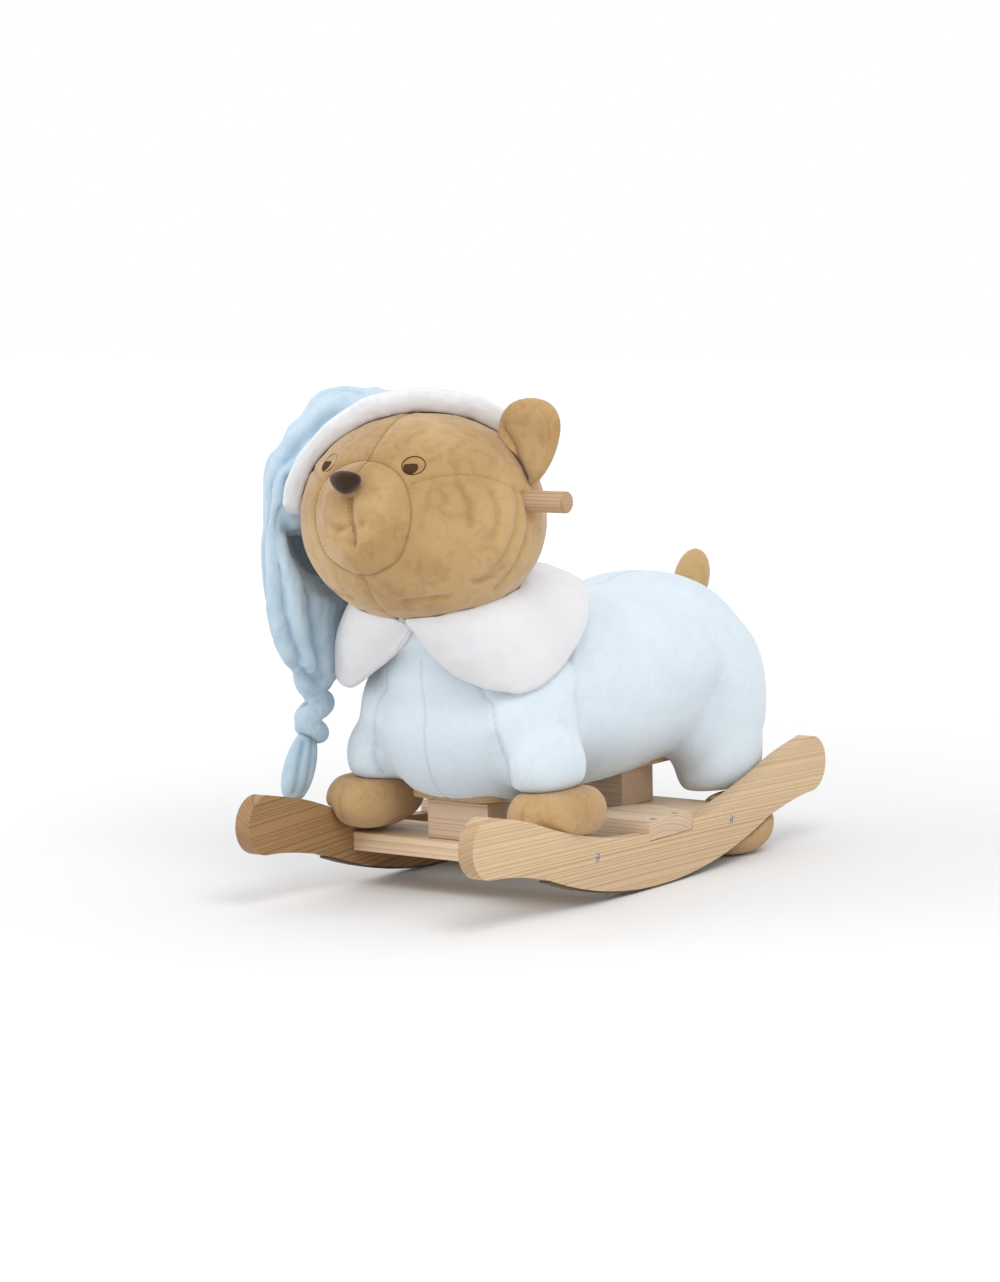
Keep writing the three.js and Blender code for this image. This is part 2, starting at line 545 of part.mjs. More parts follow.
// ---------------------------------------------------------------- collar
function collarSolid(way) {
  const body = (grow) => stuffed(TORSO, grow, TORSO_SIDES, TORSO_RINGS).add(stuffed(NECK, grow));
  const lobe = stuffed(way > 0 ? COLLAR_LOBE : mirrored(COLLAR_LOBE));
  const half = way > 0 ? box([COLLAR_SPLIT / 2, -FAR, 0], [FAR, FAR, FAR])
    : box([-FAR, -FAR, 0], [-COLLAR_SPLIT / 2, FAR, FAR]);
  const shell = body(COLLAR_LIFT + COLLAR_THICK).subtract(body(COLLAR_LIFT)).intersect(lobe).intersect(half);
  return cut(shell, [headGrown, postRoom, sleevesGrown]);
}
for (const [side, way] of SIDES) place(`${side}_collar`, collarSolid(way), WHITE_PLUSH);

// ---------------------------------------------------------------- cap
// it covers the head behind a slanting front plane and above a low rear one
const CAP_FRONT = { normal: new THREE.Vector3(0.6, -0.75, -0.28).normalize(), beyond: -25.7 };
const CAP_UNDER = { normal: new THREE.Vector3(0, -0.313, -0.95).normalize(), beyond: 11.8 };

// the space that the cap covers, with its edge drawn back by `inset`
function capSpace(inset) {
  const [front, under] = [CAP_FRONT, CAP_UNDER].map(({ normal, beyond }) =>
    halfSpace(normal, normal.dot(new THREE.Vector3(...HEAD.at)) + beyond - inset));
  return front.intersect(under);
}
const rightEarGrown = stuffed(ears.right, SOFT_GAP, 16, 10);
const leftEarGrown = stuffed(ears.left, SOFT_GAP, 16, 10);
const underCap = [headGrown, rightEarGrown, leftEarGrown, dowelGrown, torsoKeep, stuffed(NECK, SOFT_GAP)];
const brimOver = stuffed(HEAD, SOFT_GAP + BRIM_THICK);
const crownOver = stuffed(CROWN).add(stuffed(HEAD, SOFT_GAP + CROWN_THICK));
place('cap_brim', cut(brimOver.intersect(capSpace(0)).subtract(capSpace(BRIM_WIDTH)), underCap), WHITE_PLUSH);
place('cap_crown', cut(crownOver.intersect(capSpace(BRIM_WIDTH + SOFT_GAP)), underCap), CAP_PLUSH);
const capGrown = stuffed(CROWN, SOFT_GAP).add(stuffed(HEAD, 2 * SOFT_GAP + BRIM_THICK));
const capTailCutters = [capGrown, rightEarGrown, dowelGrown, stuffed(CAP_TAIL_HOLLOW)];
place('cap_tail', cut(stuffed(CAP_TAIL), capTailCutters), CAP_PLUSH);
place('cap_knot', cut(stuffed(KNOT, 0, 16, 10), [stuffed(CAP_TAIL, SOFT_GAP)]), CAP_PLUSH);
place('cap_tip', cut(stuffed(TIP, 0, 16, 10), [stuffed(KNOT, SOFT_GAP, 16, 10)]), CAP_PLUSH);

// the origin is on the floor under the middle of the outer box
const outerBox = new THREE.Box3().setFromObject(pieces);
pieces.position.x = -(outerBox.min.x + outerBox.max.x) / 2;

export default group;
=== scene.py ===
# %% [markdown]
# # A plush bear on wooden rockers
# The toy is a stuffed bear in a sleepsuit, collar and nightcap, on two pine rockers.
# The fixed frame comes first: it holds every size, and the finished pieces are made around it.

# %% Load the frame
import math

import bmesh
import bpy
import numpy as np
from mathutils import Matrix, Vector, noise
from mathutils.bvhtree import BVHTree


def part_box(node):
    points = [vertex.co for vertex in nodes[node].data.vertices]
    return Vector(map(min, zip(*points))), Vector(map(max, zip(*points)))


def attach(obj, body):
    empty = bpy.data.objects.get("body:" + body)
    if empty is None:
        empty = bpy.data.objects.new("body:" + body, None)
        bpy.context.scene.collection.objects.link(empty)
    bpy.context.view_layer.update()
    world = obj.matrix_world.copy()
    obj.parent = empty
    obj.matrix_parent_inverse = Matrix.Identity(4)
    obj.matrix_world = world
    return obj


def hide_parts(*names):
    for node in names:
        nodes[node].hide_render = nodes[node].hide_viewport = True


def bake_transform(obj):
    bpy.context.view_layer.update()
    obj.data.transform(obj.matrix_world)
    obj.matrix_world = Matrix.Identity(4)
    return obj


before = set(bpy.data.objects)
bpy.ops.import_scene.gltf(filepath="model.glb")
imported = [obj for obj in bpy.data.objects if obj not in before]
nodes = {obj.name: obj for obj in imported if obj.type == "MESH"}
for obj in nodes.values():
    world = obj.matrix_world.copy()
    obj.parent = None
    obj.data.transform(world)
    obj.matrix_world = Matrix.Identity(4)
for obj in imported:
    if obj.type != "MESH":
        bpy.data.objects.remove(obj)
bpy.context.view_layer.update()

scene = bpy.context.scene

# %% [markdown]
# ## Measures
# Makers measure in millimetres and Blender in metres. The toy is the same on both sides of
# a middle plane, halfway between the rockers, so places are given from that plane.

# %% Millimetres from the middle plane
MIDDLE = (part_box("left_rocker")[1].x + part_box("right_rocker")[0].x) / 2


def mm(x, y, z):
    return Vector((MIDDLE + x / 1000, y / 1000, z / 1000))


print("middle plane at x =", round(MIDDLE, 4))

# %% [markdown]
# ## The camera
# It stands low in front of the toy and to its left, far enough for a flat, calm view.
# Its three axes are built from a compass angle, a height angle and a small roll.

# %% Camera
CAMERA_TURN, CAMERA_RISE, CAMERA_ROLL = (math.radians(a) for a in (35.583, 6.799, -1.131))
LENS_SHARE = 3500 / 1282
across = Vector((math.cos(CAMERA_TURN), math.sin(CAMERA_TURN), 0))
back = Vector((math.sin(CAMERA_TURN) * math.cos(CAMERA_RISE),
               -math.cos(CAMERA_TURN) * math.cos(CAMERA_RISE), math.sin(CAMERA_RISE)))
upward = back.cross(across)
roll = Matrix.Rotation(CAMERA_ROLL, 3, back)
camera = bpy.data.objects.new("camera", bpy.data.cameras.new("camera"))
scene.collection.objects.link(camera)
scene.camera = camera
camera.data.sensor_width = 36
camera.data.lens = 36 * LENS_SHARE
turn = Matrix((roll @ across, roll @ upward, back)).transposed().to_4x4()
camera.matrix_world = Matrix.Translation(mm(2128.65, -3053.09, 696.74)) @ turn
print("camera at", [round(v, 3) for v in camera.matrix_world.translation])

# %% [markdown]
# ## Floor and light
# A pale floor under a white world, one soft window of light from the upper right and a
# weaker one from the left. The floor glows more the further it is from the toy, so that it
# fades into the world with no horizon.

# %% Floor
PAPER_COLOUR = (0.78, 0.78, 0.785, 1)
GLOW_STARTS, GLOW_FULL, GLOW = 0.6, 2.4, 0.34
bm = bmesh.new()
bmesh.ops.create_grid(bm, x_segments=1, y_segments=1, size=12)
floor = bpy.data.objects.new("floor", bpy.data.meshes.new("floor"))
bm.to_mesh(floor.data)
bm.free()
scene.collection.objects.link(floor)
paper = bpy.data.materials.new("studio_paper")
paper.use_nodes = True
paper_shader = paper.node_tree.nodes["Principled BSDF"]
paper_shader.inputs["Base Color"].default_value = PAPER_COLOUR
paper_shader.inputs["Roughness"].default_value = 0.9
paper_shader.inputs["Specular IOR Level"].default_value = 0.1
ground = paper.node_tree.nodes.new("ShaderNodeTexCoord")
away = paper.node_tree.nodes.new("ShaderNodeVectorMath")
away.operation = "LENGTH"
falloff = paper.node_tree.nodes.new("ShaderNodeMapRange")
falloff.inputs["From Min"].default_value, falloff.inputs["From Max"].default_value = GLOW_STARTS, GLOW_FULL
falloff.inputs["To Max"].default_value = GLOW
paper.node_tree.links.new(ground.outputs["Object"], away.inputs[0])
paper.node_tree.links.new(away.outputs["Value"], falloff.inputs["Value"])
paper.node_tree.links.new(falloff.outputs[0], paper_shader.inputs["Emission Strength"])
paper_shader.inputs["Emission Color"].default_value = (1, 1, 1, 1)
floor.data.materials.append(paper)
print("floor laid")

# %% Light
world = bpy.data.worlds.new("studio")
scene.world = world
world.use_nodes = True
world.node_tree.nodes["Background"].inputs["Color"].default_value = (1, 1, 1, 1)
world.node_tree.nodes["Background"].inputs["Strength"].default_value = 1.0
scene.view_settings.view_transform = "Standard"


def softbox(name, place, aim, size, watts):
    light = bpy.data.lights.new(name, "AREA")
    light.size = size
    light.energy = watts
    lamp = bpy.data.objects.new(name, light)
    scene.collection.objects.link(lamp)
    lamp.location = place
    lamp.rotation_euler = (Vector(aim) - Vector(place)).to_track_quat("-Z", "Y").to_euler()
    return lamp


softbox("window_light", (1.5, -1.3, 2.3), (0, 0, 0.25), 1.3, 27)
softbox("fill_light", (-2.2, -1.4, 1.4), (0, 0, 0.25), 1.8, 16)

# %% [markdown]
# ## Finishes
# Each finish is a small network of nodes. Effects that several finishes share, such as the
# nap of plush or the grain of pine, are node groups, built once and used with other values.

# %% Helpers for node networks
def new_group(name, inputs, outputs):
    group = bpy.data.node_groups.new(name, "ShaderNodeTree")
    for label, kind, value in inputs:
        socket = group.interface.new_socket(name=label, in_out="INPUT", socket_type=kind)
        socket.default_value = value
    for label, kind in outputs:
        group.interface.new_socket(name=label, in_out="OUTPUT", socket_type=kind)
    return group, group.nodes.new("NodeGroupInput"), group.nodes.new("NodeGroupOutput")


def put(tree, kind, links=(), **settings):
    node = tree.nodes.new(kind)
    for name, value in settings.items():
        setattr(node, name, value)
    for socket, value in links:
        if isinstance(value, bpy.types.NodeSocket):
            tree.links.new(value, node.inputs[socket])
        else:
            node.inputs[socket].default_value = value
    return node


def maths(tree, operation, a, b=0.0, clamp=False):
    return put(tree, "ShaderNodeMath", [(0, a), (1, b)], operation=operation, use_clamp=clamp).outputs[0]


def times(tree, a, b):
    return maths(tree, "MULTIPLY", a, b)


def plus(tree, a, b, clamp=False):
    return maths(tree, "ADD", a, b, clamp)


def mixed(tree, amount, a, b, how="MIX"):
    node = put(tree, "ShaderNodeMix", [(0, amount), (6, a), (7, b)], data_type="RGBA", blend_type=how)
    return node.outputs[2]


def stepped(tree, value, low, high):
    node = put(tree, "ShaderNodeMapRange", [(0, value), (1, low), (2, high)], interpolation_type="SMOOTHSTEP")
    return node.outputs[0]


FLOAT, COLOUR, VECTOR = "NodeSocketFloat", "NodeSocketColor", "NodeSocketVector"
print("node helpers ready")

# %% [markdown]
# ### Nap
# Plush and velour are short piles. Hands brush the pile both ways, which leaves broad pale
# and dark patches, and close up the tufts read as fine grain. Sewn and folded places are
# marked on each mesh as seam and fold attributes, and they darken: in a fold the darkening is
# painted shade, and on a seam it is the sewn line with painted shade in its groove.

# %% Group: nap
nap, given, result = new_group("nap", [
    ("Colour", COLOUR, (0.5, 0.5, 0.5, 1)), ("Shade", COLOUR, (0.3, 0.3, 0.3, 1)),
    ("Patches", FLOAT, 0.35), ("Tuft size", FLOAT, 0.0012), ("Tufts", FLOAT, 0.5), ("Weave", FLOAT, 0.0)],
    [("Colour", COLOUR), ("Height", FLOAT), ("Roughness", FLOAT)])
place = put(nap, "ShaderNodeTexCoord").outputs["Object"]
broad = put(nap, "ShaderNodeTexNoise", [("Vector", place), ("Scale", 9.0), ("Detail", 3.0),
                                        ("Distortion", 0.6)])
brushed = put(nap, "ShaderNodeTexNoise", [("Vector", place), ("Scale", 55.0), ("Detail", 4.0),
                                          ("Distortion", 1.2)])
tuft_scale = maths(nap, "DIVIDE", 1.0, given.outputs["Tuft size"])
tufts = put(nap, "ShaderNodeTexNoise", [("Vector", place), ("Scale", tuft_scale), ("Detail", 2.0),
                                        ("Roughness", 0.7)])
weave = put(nap, "ShaderNodeTexVoronoi", [("Vector", place), ("Scale", times(nap, tuft_scale, 0.8))])
# The seam and fold marks darken the pile: painted shade in folds, and the sewn line with painted shade in the
# groove at seams.
seam_line_and_shade = put(nap, "ShaderNodeAttribute", attribute_name="seam_line_and_shade").outputs["Fac"]
fold_shade = put(nap, "ShaderNodeAttribute", attribute_name="fold_shade").outputs["Fac"]
patchy = plus(nap, stepped(nap, broad.outputs[0], 0.35, 0.7),
               times(nap, stepped(nap, brushed.outputs[0], 0.4, 0.75), 0.6))
shade = times(nap, times(nap, patchy, 0.6), given.outputs["Patches"])
grainy = times(nap, maths(nap, "SUBTRACT", 0.62, tufts.outputs[0]), given.outputs["Tufts"])
seams_and_fold_shade = plus(nap, times(nap, seam_line_and_shade, 0.55), times(nap, fold_shade, 0.5))
amount = plus(nap, plus(nap, shade, grainy), seams_and_fold_shade, clamp=True)
nap.links.new(mixed(nap, amount, given.outputs["Colour"], given.outputs["Shade"]), result.inputs["Colour"])
height = plus(nap, times(nap, tufts.outputs[0], 0.8),
               times(nap, times(nap, weave.outputs["Distance"], given.outputs["Weave"]), 0.5))
height = plus(nap, height, times(nap, brushed.outputs[0], 0.7))
nap.links.new(height, result.inputs["Height"])
nap.links.new(plus(nap, 0.82, times(nap, tufts.outputs[0], 0.15)), result.inputs["Roughness"])
print("nap sockets:", [s.name for s in nap.interface.items_tree])


# %% Plush finishes
def plush(name, colour, shade, patches, tuft_mm, tufts, sheen, bump, weave=0.0):
    material = bpy.data.materials.new(name)
    material.use_nodes = True
    tree = material.node_tree
    shader = tree.nodes["Principled BSDF"]
    look = put(tree, "ShaderNodeGroup", node_tree=nap)
    for socket, value in (("Colour", (*colour, 1)), ("Shade", (*shade, 1)), ("Patches", patches),
                          ("Tuft size", tuft_mm / 1000), ("Tufts", tufts), ("Weave", weave)):
        look.inputs[socket].default_value = value
    lift = put(tree, "ShaderNodeBump", [("Height", look.outputs["Height"]), ("Strength", bump),
                                        ("Distance", 0.0012)])
    tree.links.new(look.outputs["Colour"], shader.inputs["Base Color"])
    tree.links.new(look.outputs["Roughness"], shader.inputs["Roughness"])
    tree.links.new(lift.outputs["Normal"], shader.inputs["Normal"])
    shader.inputs["Sheen Weight"].default_value = sheen
    shader.inputs["Sheen Roughness"].default_value = 0.45
    shader.inputs["Specular IOR Level"].default_value = 0.15
    return material


SUIT = plush("suit_plush", (0.65, 0.725, 0.785), (0.43, 0.53, 0.62), 0.35, 1.3, 0.45, 0.25, 0.5)
CAP = plush("cap_plush", (0.52, 0.63, 0.72), (0.24, 0.38, 0.49), 0.45, 1.1, 0.45, 0.25, 0.5)
WHITE = plush("white_plush", (0.72, 0.72, 0.735), (0.52, 0.53, 0.58), 0.25, 1.0, 0.35, 0.2, 0.45)
VELOUR = plush("head_velour", (0.50, 0.33, 0.155), (0.25, 0.13, 0.042), 0.7, 0.9, 0.4, 0.35, 0.4)
PAW = plush("paw_plush", (0.53, 0.345, 0.17), (0.27, 0.15, 0.055), 0.5, 1.8, 0.8, 0.2, 0.9)
NOSE_VELVET = plush("nose_velvet", (0.045, 0.020, 0.010), (0.016, 0.008, 0.005), 0.5, 0.8, 0.5, 0.3, 0.5)
EYE_THREAD = plush("eye_thread", (0.10, 0.045, 0.02), (0.03, 0.015, 0.008), 0.3, 0.7, 0.7, 0.0, 0.8, 1.0)
TAN_THREAD = plush("tan_thread", (0.36, 0.21, 0.09), (0.22, 0.12, 0.05), 0.2, 0.5, 0.5, 0.0, 0.8, 1.0)
FELT = plush("glide_felt", (0.16, 0.12, 0.085), (0.08, 0.06, 0.045), 0.5, 1.5, 0.8, 0.1, 0.9)
print("plush finishes:", [m.name for m in bpy.data.materials if "plush" in m.name])

# %% [markdown]
# ### Pine
# A board is cut out of a trunk, so its grain is a set of thin shells round the trunk's axis.
# Measuring the distance from that axis at every point of the solid gives lines along the
# faces and arcs on the ends, all of them joined up, as in real timber.

# %% Group: pine grain
pine_grain, given, result = new_group("pine_grain", [
    ("Vector", VECTOR, (0, 0, 0)), ("Early wood", COLOUR, (0.7, 0.5, 0.3, 1)),
                                                     ("Late wood", COLOUR, (0.4, 0.2, 0.1, 1)),
    ("Ring gap", FLOAT, 0.004), ("Waviness", FLOAT, 0.004)],
    [("Colour", COLOUR), ("Height", FLOAT), ("Roughness", FLOAT)])
along = put(pine_grain, "ShaderNodeVectorMath", [(0, given.outputs["Vector"]), (1, (1, 0.06, 1))],
            operation="MULTIPLY")
wander = put(pine_grain, "ShaderNodeTexNoise",
             [("Vector", along.outputs[0]), ("Scale", 16.0), ("Detail", 2.0)])
shift = put(pine_grain, "ShaderNodeVectorMath", [(0, wander.outputs["Color"]), (1, (0.5, 0.5, 0.5))],
            operation="SUBTRACT")
sway = put(pine_grain, "ShaderNodeVectorMath", [(0, shift.outputs[0]), (3, given.outputs["Waviness"])],
           operation="SCALE")
bent = put(pine_grain, "ShaderNodeVectorMath", [(0, given.outputs["Vector"]), (1, sway.outputs[0])],
           operation="ADD")
flat = put(pine_grain, "ShaderNodeVectorMath", [(0, bent.outputs[0]), (1, (1, 0, 1))], operation="MULTIPLY")
reach = put(pine_grain, "ShaderNodeVectorMath", [(0, flat.outputs[0])], operation="LENGTH").outputs["Value"]
years = put(pine_grain, "ShaderNodeTexNoise",
            [("W", times(pine_grain, reach, 70.0)), ("Scale", 1.0), ("Detail", 2.0)],
            noise_dimensions="1D").outputs[0]
uneven = plus(pine_grain, reach, times(pine_grain, years, 0.012))
ring = maths(pine_grain, "FRACT", maths(pine_grain, "DIVIDE", uneven, given.outputs["Ring gap"]))
late = times(pine_grain, stepped(pine_grain, ring, 0.35, 0.86),
             maths(pine_grain, "SUBTRACT", 1.0, stepped(pine_grain, ring, 0.9, 1.0)))
streaks = put(pine_grain, "ShaderNodeVectorMath", [(0, given.outputs["Vector"]), (1, (900, 18, 900))],
              operation="MULTIPLY")
fibre = put(pine_grain, "ShaderNodeTexNoise",
            [("Vector", streaks.outputs[0]), ("Scale", 1.0), ("Detail", 3.0), ("Roughness", 0.7)]).outputs[0]
tone = put(pine_grain, "ShaderNodeTexNoise", [("Vector", along.outputs[0]), ("Scale", 30.0),
                                              ("Detail", 3.0)]).outputs[0]
depth = times(pine_grain, late, plus(pine_grain, 0.35, times(pine_grain, tone, 0.7)))
dark = plus(pine_grain, depth, times(pine_grain, maths(pine_grain, "SUBTRACT", fibre, 0.42), 0.5), clamp=True)
pine_grain.links.new(mixed(pine_grain, dark, given.outputs["Early wood"], given.outputs["Late wood"]),
                     result.inputs["Colour"])
pine_grain.links.new(maths(pine_grain, "SUBTRACT", times(pine_grain, fibre, 0.5),
                           times(pine_grain, late, 0.35)), result.inputs["Height"])
pine_grain.links.new(plus(pine_grain, 0.42, times(pine_grain, fibre, 0.25)), result.inputs["Roughness"])
print("pine grain nodes:", len(pine_grain.nodes))

# %% [markdown]
# ### Rubbed edges
# Sanding rounds each edge and breaks through the stain, and hands then polish it. On these
# flat boards only a rounded edge has a normal that leans halfway, so the normal finds it.

# %% Group: rubbed edges
rubbed, given, result = new_group("rubbed_edges", [("Board axis", VECTOR, (1, 0, 0)), ("Wear", FLOAT, 0.5)],
                                  [("Mask", FLOAT)])
coordinates = put(rubbed, "ShaderNodeTexCoord")
lean = put(rubbed, "ShaderNodeVectorMath", [(0, coordinates.outputs["Normal"]),
                                            (1, given.outputs["Board axis"])],
           operation="DOT_PRODUCT").outputs["Value"]
lean = maths(rubbed, "ABSOLUTE", lean)
halfway = times(rubbed, stepped(rubbed, lean, 0.08, 0.4),
                maths(rubbed, "SUBTRACT", 1.0, stepped(rubbed, lean, 0.8, 0.99)))
chance = put(rubbed, "ShaderNodeTexNoise", [("Vector", coordinates.outputs["Object"]), ("Scale", 60.0),
                                            ("Detail", 4.0)]).outputs[0]
worn = times(rubbed, times(rubbed, halfway, stepped(rubbed, chance, 0.3, 0.62)), given.outputs["Wear"])
rubbed.links.new(worn, result.inputs["Mask"])
print("rubbed edge nodes:", len(rubbed.nodes))

# %% Group: end grain
# Where a board is cut across, the open ends of the fibres drink the oil and turn dark.
end_grain, given, result = new_group("end_grain", [("Fibre axis", VECTOR, (0, 1, 0)),
                                                   ("Darkness", FLOAT, 0.6)], [("Mask", FLOAT)])
coordinates = put(end_grain, "ShaderNodeTexCoord")
facing = put(end_grain, "ShaderNodeVectorMath",
             [(0, coordinates.outputs["Normal"]), (1, given.outputs["Fibre axis"])],
             operation="DOT_PRODUCT").outputs["Value"]
cut_across = stepped(end_grain, maths(end_grain, "ABSOLUTE", facing), 0.2, 0.8)
pores = put(end_grain, "ShaderNodeTexVoronoi",
            [("Vector", coordinates.outputs["Object"]), ("Scale", 420.0)]).outputs["Distance"]
soaked = times(end_grain, cut_across, plus(end_grain, 0.7, times(end_grain, stepped(end_grain, pores, 0.5,
                                                                                    0.15), 0.3)))
end_grain.links.new(times(end_grain, soaked, given.outputs["Darkness"]), result.inputs["Mask"])
print("end grain nodes:", len(end_grain.nodes))


# %% Wood finishes
def wood(name, early, late, worn_colour, axis, centre_mm, tilt, ring_mm=4.2, waviness_mm=6, wear=0.6,
         gloss=0.06,
         fibre=(0, 1, 0), darkness=0.6):
    material = bpy.data.materials.new(name)
    material.use_nodes = True
    tree = material.node_tree
    shader = tree.nodes["Principled BSDF"]
    place = put(tree, "ShaderNodeTexCoord").outputs["Object"]
    set_in = put(tree, "ShaderNodeMapping", [("Vector", place), ("Location", [-c / 1000 for c in centre_mm])])
    turned = put(tree, "ShaderNodeMapping", [("Vector", set_in.outputs[0]),
                                             ("Rotation", [math.radians(a) for a in tilt])])
    look = put(tree, "ShaderNodeGroup", [], node_tree=pine_grain)
    tree.links.new(turned.outputs[0], look.inputs["Vector"])
    for socket, value in (("Early wood", (*early, 1)), ("Late wood", (*late, 1)),
                          ("Ring gap", ring_mm / 1000),
                          ("Waviness", waviness_mm / 1000)):
        look.inputs[socket].default_value = value
    edge = put(tree, "ShaderNodeGroup", node_tree=rubbed)
    edge.inputs["Board axis"].default_value = axis
    edge.inputs["Wear"].default_value = wear
    tint = mixed(tree, edge.outputs["Mask"], look.outputs["Colour"], (*worn_colour, 1))
    ends = put(tree, "ShaderNodeGroup", node_tree=end_grain)
    ends.inputs["Fibre axis"].default_value = fibre
    ends.inputs["Darkness"].default_value = darkness
    tint = mixed(tree, ends.outputs["Mask"], tint, (*worn_colour, 1))
    lift = put(tree, "ShaderNodeBump", [("Height", look.outputs["Height"]), ("Strength", 0.35),
                                        ("Distance", 0.0006)])
    tree.links.new(tint, shader.inputs["Base Color"])
    tree.links.new(look.outputs["Roughness"], shader.inputs["Roughness"])
    tree.links.new(lift.outputs["Normal"], shader.inputs["Normal"])
    shader.inputs["Coat Weight"].default_value = gloss
    shader.inputs["Coat Roughness"].default_value = 0.4
    return material


EARLY, LATE, WORN = (0.62, 0.45, 0.27), (0.44, 0.27, 0.13), (0.25, 0.135, 0.055)
ACROSS = (1, 0, 0)
# The far rocker, on the right, is the same pine as the near one; its much darker colours are painted shade.
rocker_pine = {
    "left": wood("rocker_pine_left", EARLY, LATE, WORN, ACROSS, (200, 0, -90), (2.5, 0, -3), 3.4, 5),
    "right": wood("rocker_pine_right_painted_shade", (0.37, 0.21, 0.09), (0.19, 0.095, 0.037), WORN, ACROSS,
                  (-230, 0, -70), (-1.5, 0, 2), 3.6, 5),
}
PLANK_PINE = wood("footrest_pine", (0.71, 0.55, 0.39), (0.55, 0.37, 0.23), WORN, (0, 0, 1), (0, 0, -60),
                  (0, 0, 90), 4,
                  fibre=ACROSS, darkness=0.35)
BOARD_PINE = wood("cross_board_pine", (0.74, 0.56, 0.38), (0.56, 0.38, 0.22), WORN, (0, 0, 1),
                  (0, -60, -40), (0, 0, 90), 4,
                  fibre=ACROSS, darkness=0.35)
BLOCK_PINE = wood("block_pine", (0.62, 0.46, 0.32), (0.48, 0.31, 0.2), WORN, (0, 0, 1), (140, 0, -30),
                  (0, 0, 90), 3.6,
                  fibre=ACROSS, darkness=0.25)
FRAME_PINE = wood("frame_pine", (0.52, 0.36, 0.20), (0.38, 0.22, 0.11), WORN, (0, 0, 1), (60, 0, 20),
                  (0, 0, 0), 4)
DOWEL_PINE = wood("dowel_pine", (0.46, 0.31, 0.18), (0.32, 0.19, 0.1), WORN, ACROSS, (0, -198, 395),
                  (0, 0, 90), 2.6, 3,
                  fibre=ACROSS, darkness=0.3)
print("wood finishes ready")

# %% [markdown]
# ## Making a piece
# Every finished piece rides on a body of the frame, stands for the frame's plain part and
# names its finish. One helper does the three, and shades soft curves but keeps real corners.

# %% Helper: a finished piece
def piece(name, bm, material, stands_for, body="root", corner=35):
    bmesh.ops.recalc_face_normals(bm, faces=bm.faces)
    obj = bpy.data.objects.new(name, bpy.data.meshes.new(name))
    bm.to_mesh(obj.data)
    bm.free()
    return finished(obj, material, stands_for, body, corner)


def finished(obj, material, stands_for, body="root", corner=35):
    if obj.name not in scene.collection.objects:
        scene.collection.objects.link(obj)
    obj.data.materials.clear()
    obj.data.materials.append(material)
    obj.data.polygons.foreach_set("use_smooth", [True] * len(obj.data.polygons))
    if corner:
        obj.data.set_sharp_from_angle(angle=math.radians(corner))
    if body:
        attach(obj, body)
    if stands_for:
        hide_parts(*stands_for)
    print(f"{obj.name}: {len(obj.data.polygons)} faces")
    return obj


def baked(obj):
    """Turns an object's modifiers into plain mesh."""
    bpy.context.view_layer.update()
    mesh = bpy.data.meshes.new_from_object(obj.evaluated_get(bpy.context.evaluated_depsgraph_get()))
    obj.modifiers.clear()
    old, obj.data = obj.data, mesh
    bpy.data.meshes.remove(old)
    return obj


def merged_copy(node):
    bm = bmesh.new()
    bm.from_mesh(nodes[node].data)
    bmesh.ops.remove_doubles(bm, verts=bm.verts, dist=2e-5)
    return bm


print("piece helpers ready")

# %% [markdown]
# ## Rockers
# Each rocker is sawn from one pine board: a long arc below, a hollow throat before each round
# horn, and a shallow dip on top. The outline is drawn once as points, a face is spread over
# them and extruded through the board, and the long edges are rounded with a router bit.

# %% Rocker outline
ROCKER_ARC, ROCKER_ARC_HALF, ROCKER_DEPTH = 600, 215, 55
HORN_RADIUS, HORN_HEIGHT, GLIDE_THICK = 31, 88, 2.5
HORN_Y = (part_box("left_rocker")[1].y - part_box("left_rocker")[0].y) * 500 - HORN_RADIUS


def smooth_run(points, steps):
    """A soft curve through the points, as a thin lath bent round pegs."""
    points = [Vector(p) for p in points]
    pegs = [2 * points[0] - points[1], *points, 2 * points[-1] - points[-2]]
    run = []
    for a, b, c, d in zip(pegs, pegs[1:], pegs[2:], pegs[3:]):
        for step in range(steps):
            t = step / steps
            run.append(0.5 * (2 * b + (c - a) * t + (2 * a - 5 * b + 4 * c - d) * t * t
                              + (3 * b - a - 3 * c + d) * t ** 3))
    return run + [points[-1]]


def arc_point(angle):
    return (ROCKER_ARC * math.sin(angle), GLIDE_THICK + ROCKER_ARC * (1 - math.cos(angle)))


def half_outline(way):
    """From the end of the rolling arc, round the horn and back to the middle of the top."""
    end = Vector(arc_point(math.asin(ROCKER_ARC_HALF / ROCKER_ARC)))
    throat = Vector((HORN_Y - 22, HORN_HEIGHT - HORN_RADIUS - 1.5))
    below = Vector((HORN_Y, HORN_HEIGHT - HORN_RADIUS))
    lower = smooth_run([end, end.lerp(throat, 0.55) + Vector((0, 1)), throat, below], 8)
    horn = [Vector((HORN_Y + HORN_RADIUS * math.sin(a), HORN_HEIGHT - HORN_RADIUS * math.cos(a)))
            for a in (math.pi * i / 28 for i in range(1, 28))]
    upper = smooth_run([(HORN_Y, HORN_HEIGHT + HORN_RADIUS), (250, 106.5), (180, 84.5), (90, 65),
                        (0, GLIDE_THICK + ROCKER_DEPTH)], 9)
    return [(way * p.x, p.y) for p in [*lower, *horn, *upper]]


def rocker_outline():
    reach = math.asin(ROCKER_ARC_HALF / ROCKER_ARC)
    bottom = [arc_point(reach * i / 24) for i in range(-24, 25)]
    return bottom + half_outline(1)[1:] + half_outline(-1)[1:-1][::-1]


print("rocker outline points:", len(rocker_outline()))


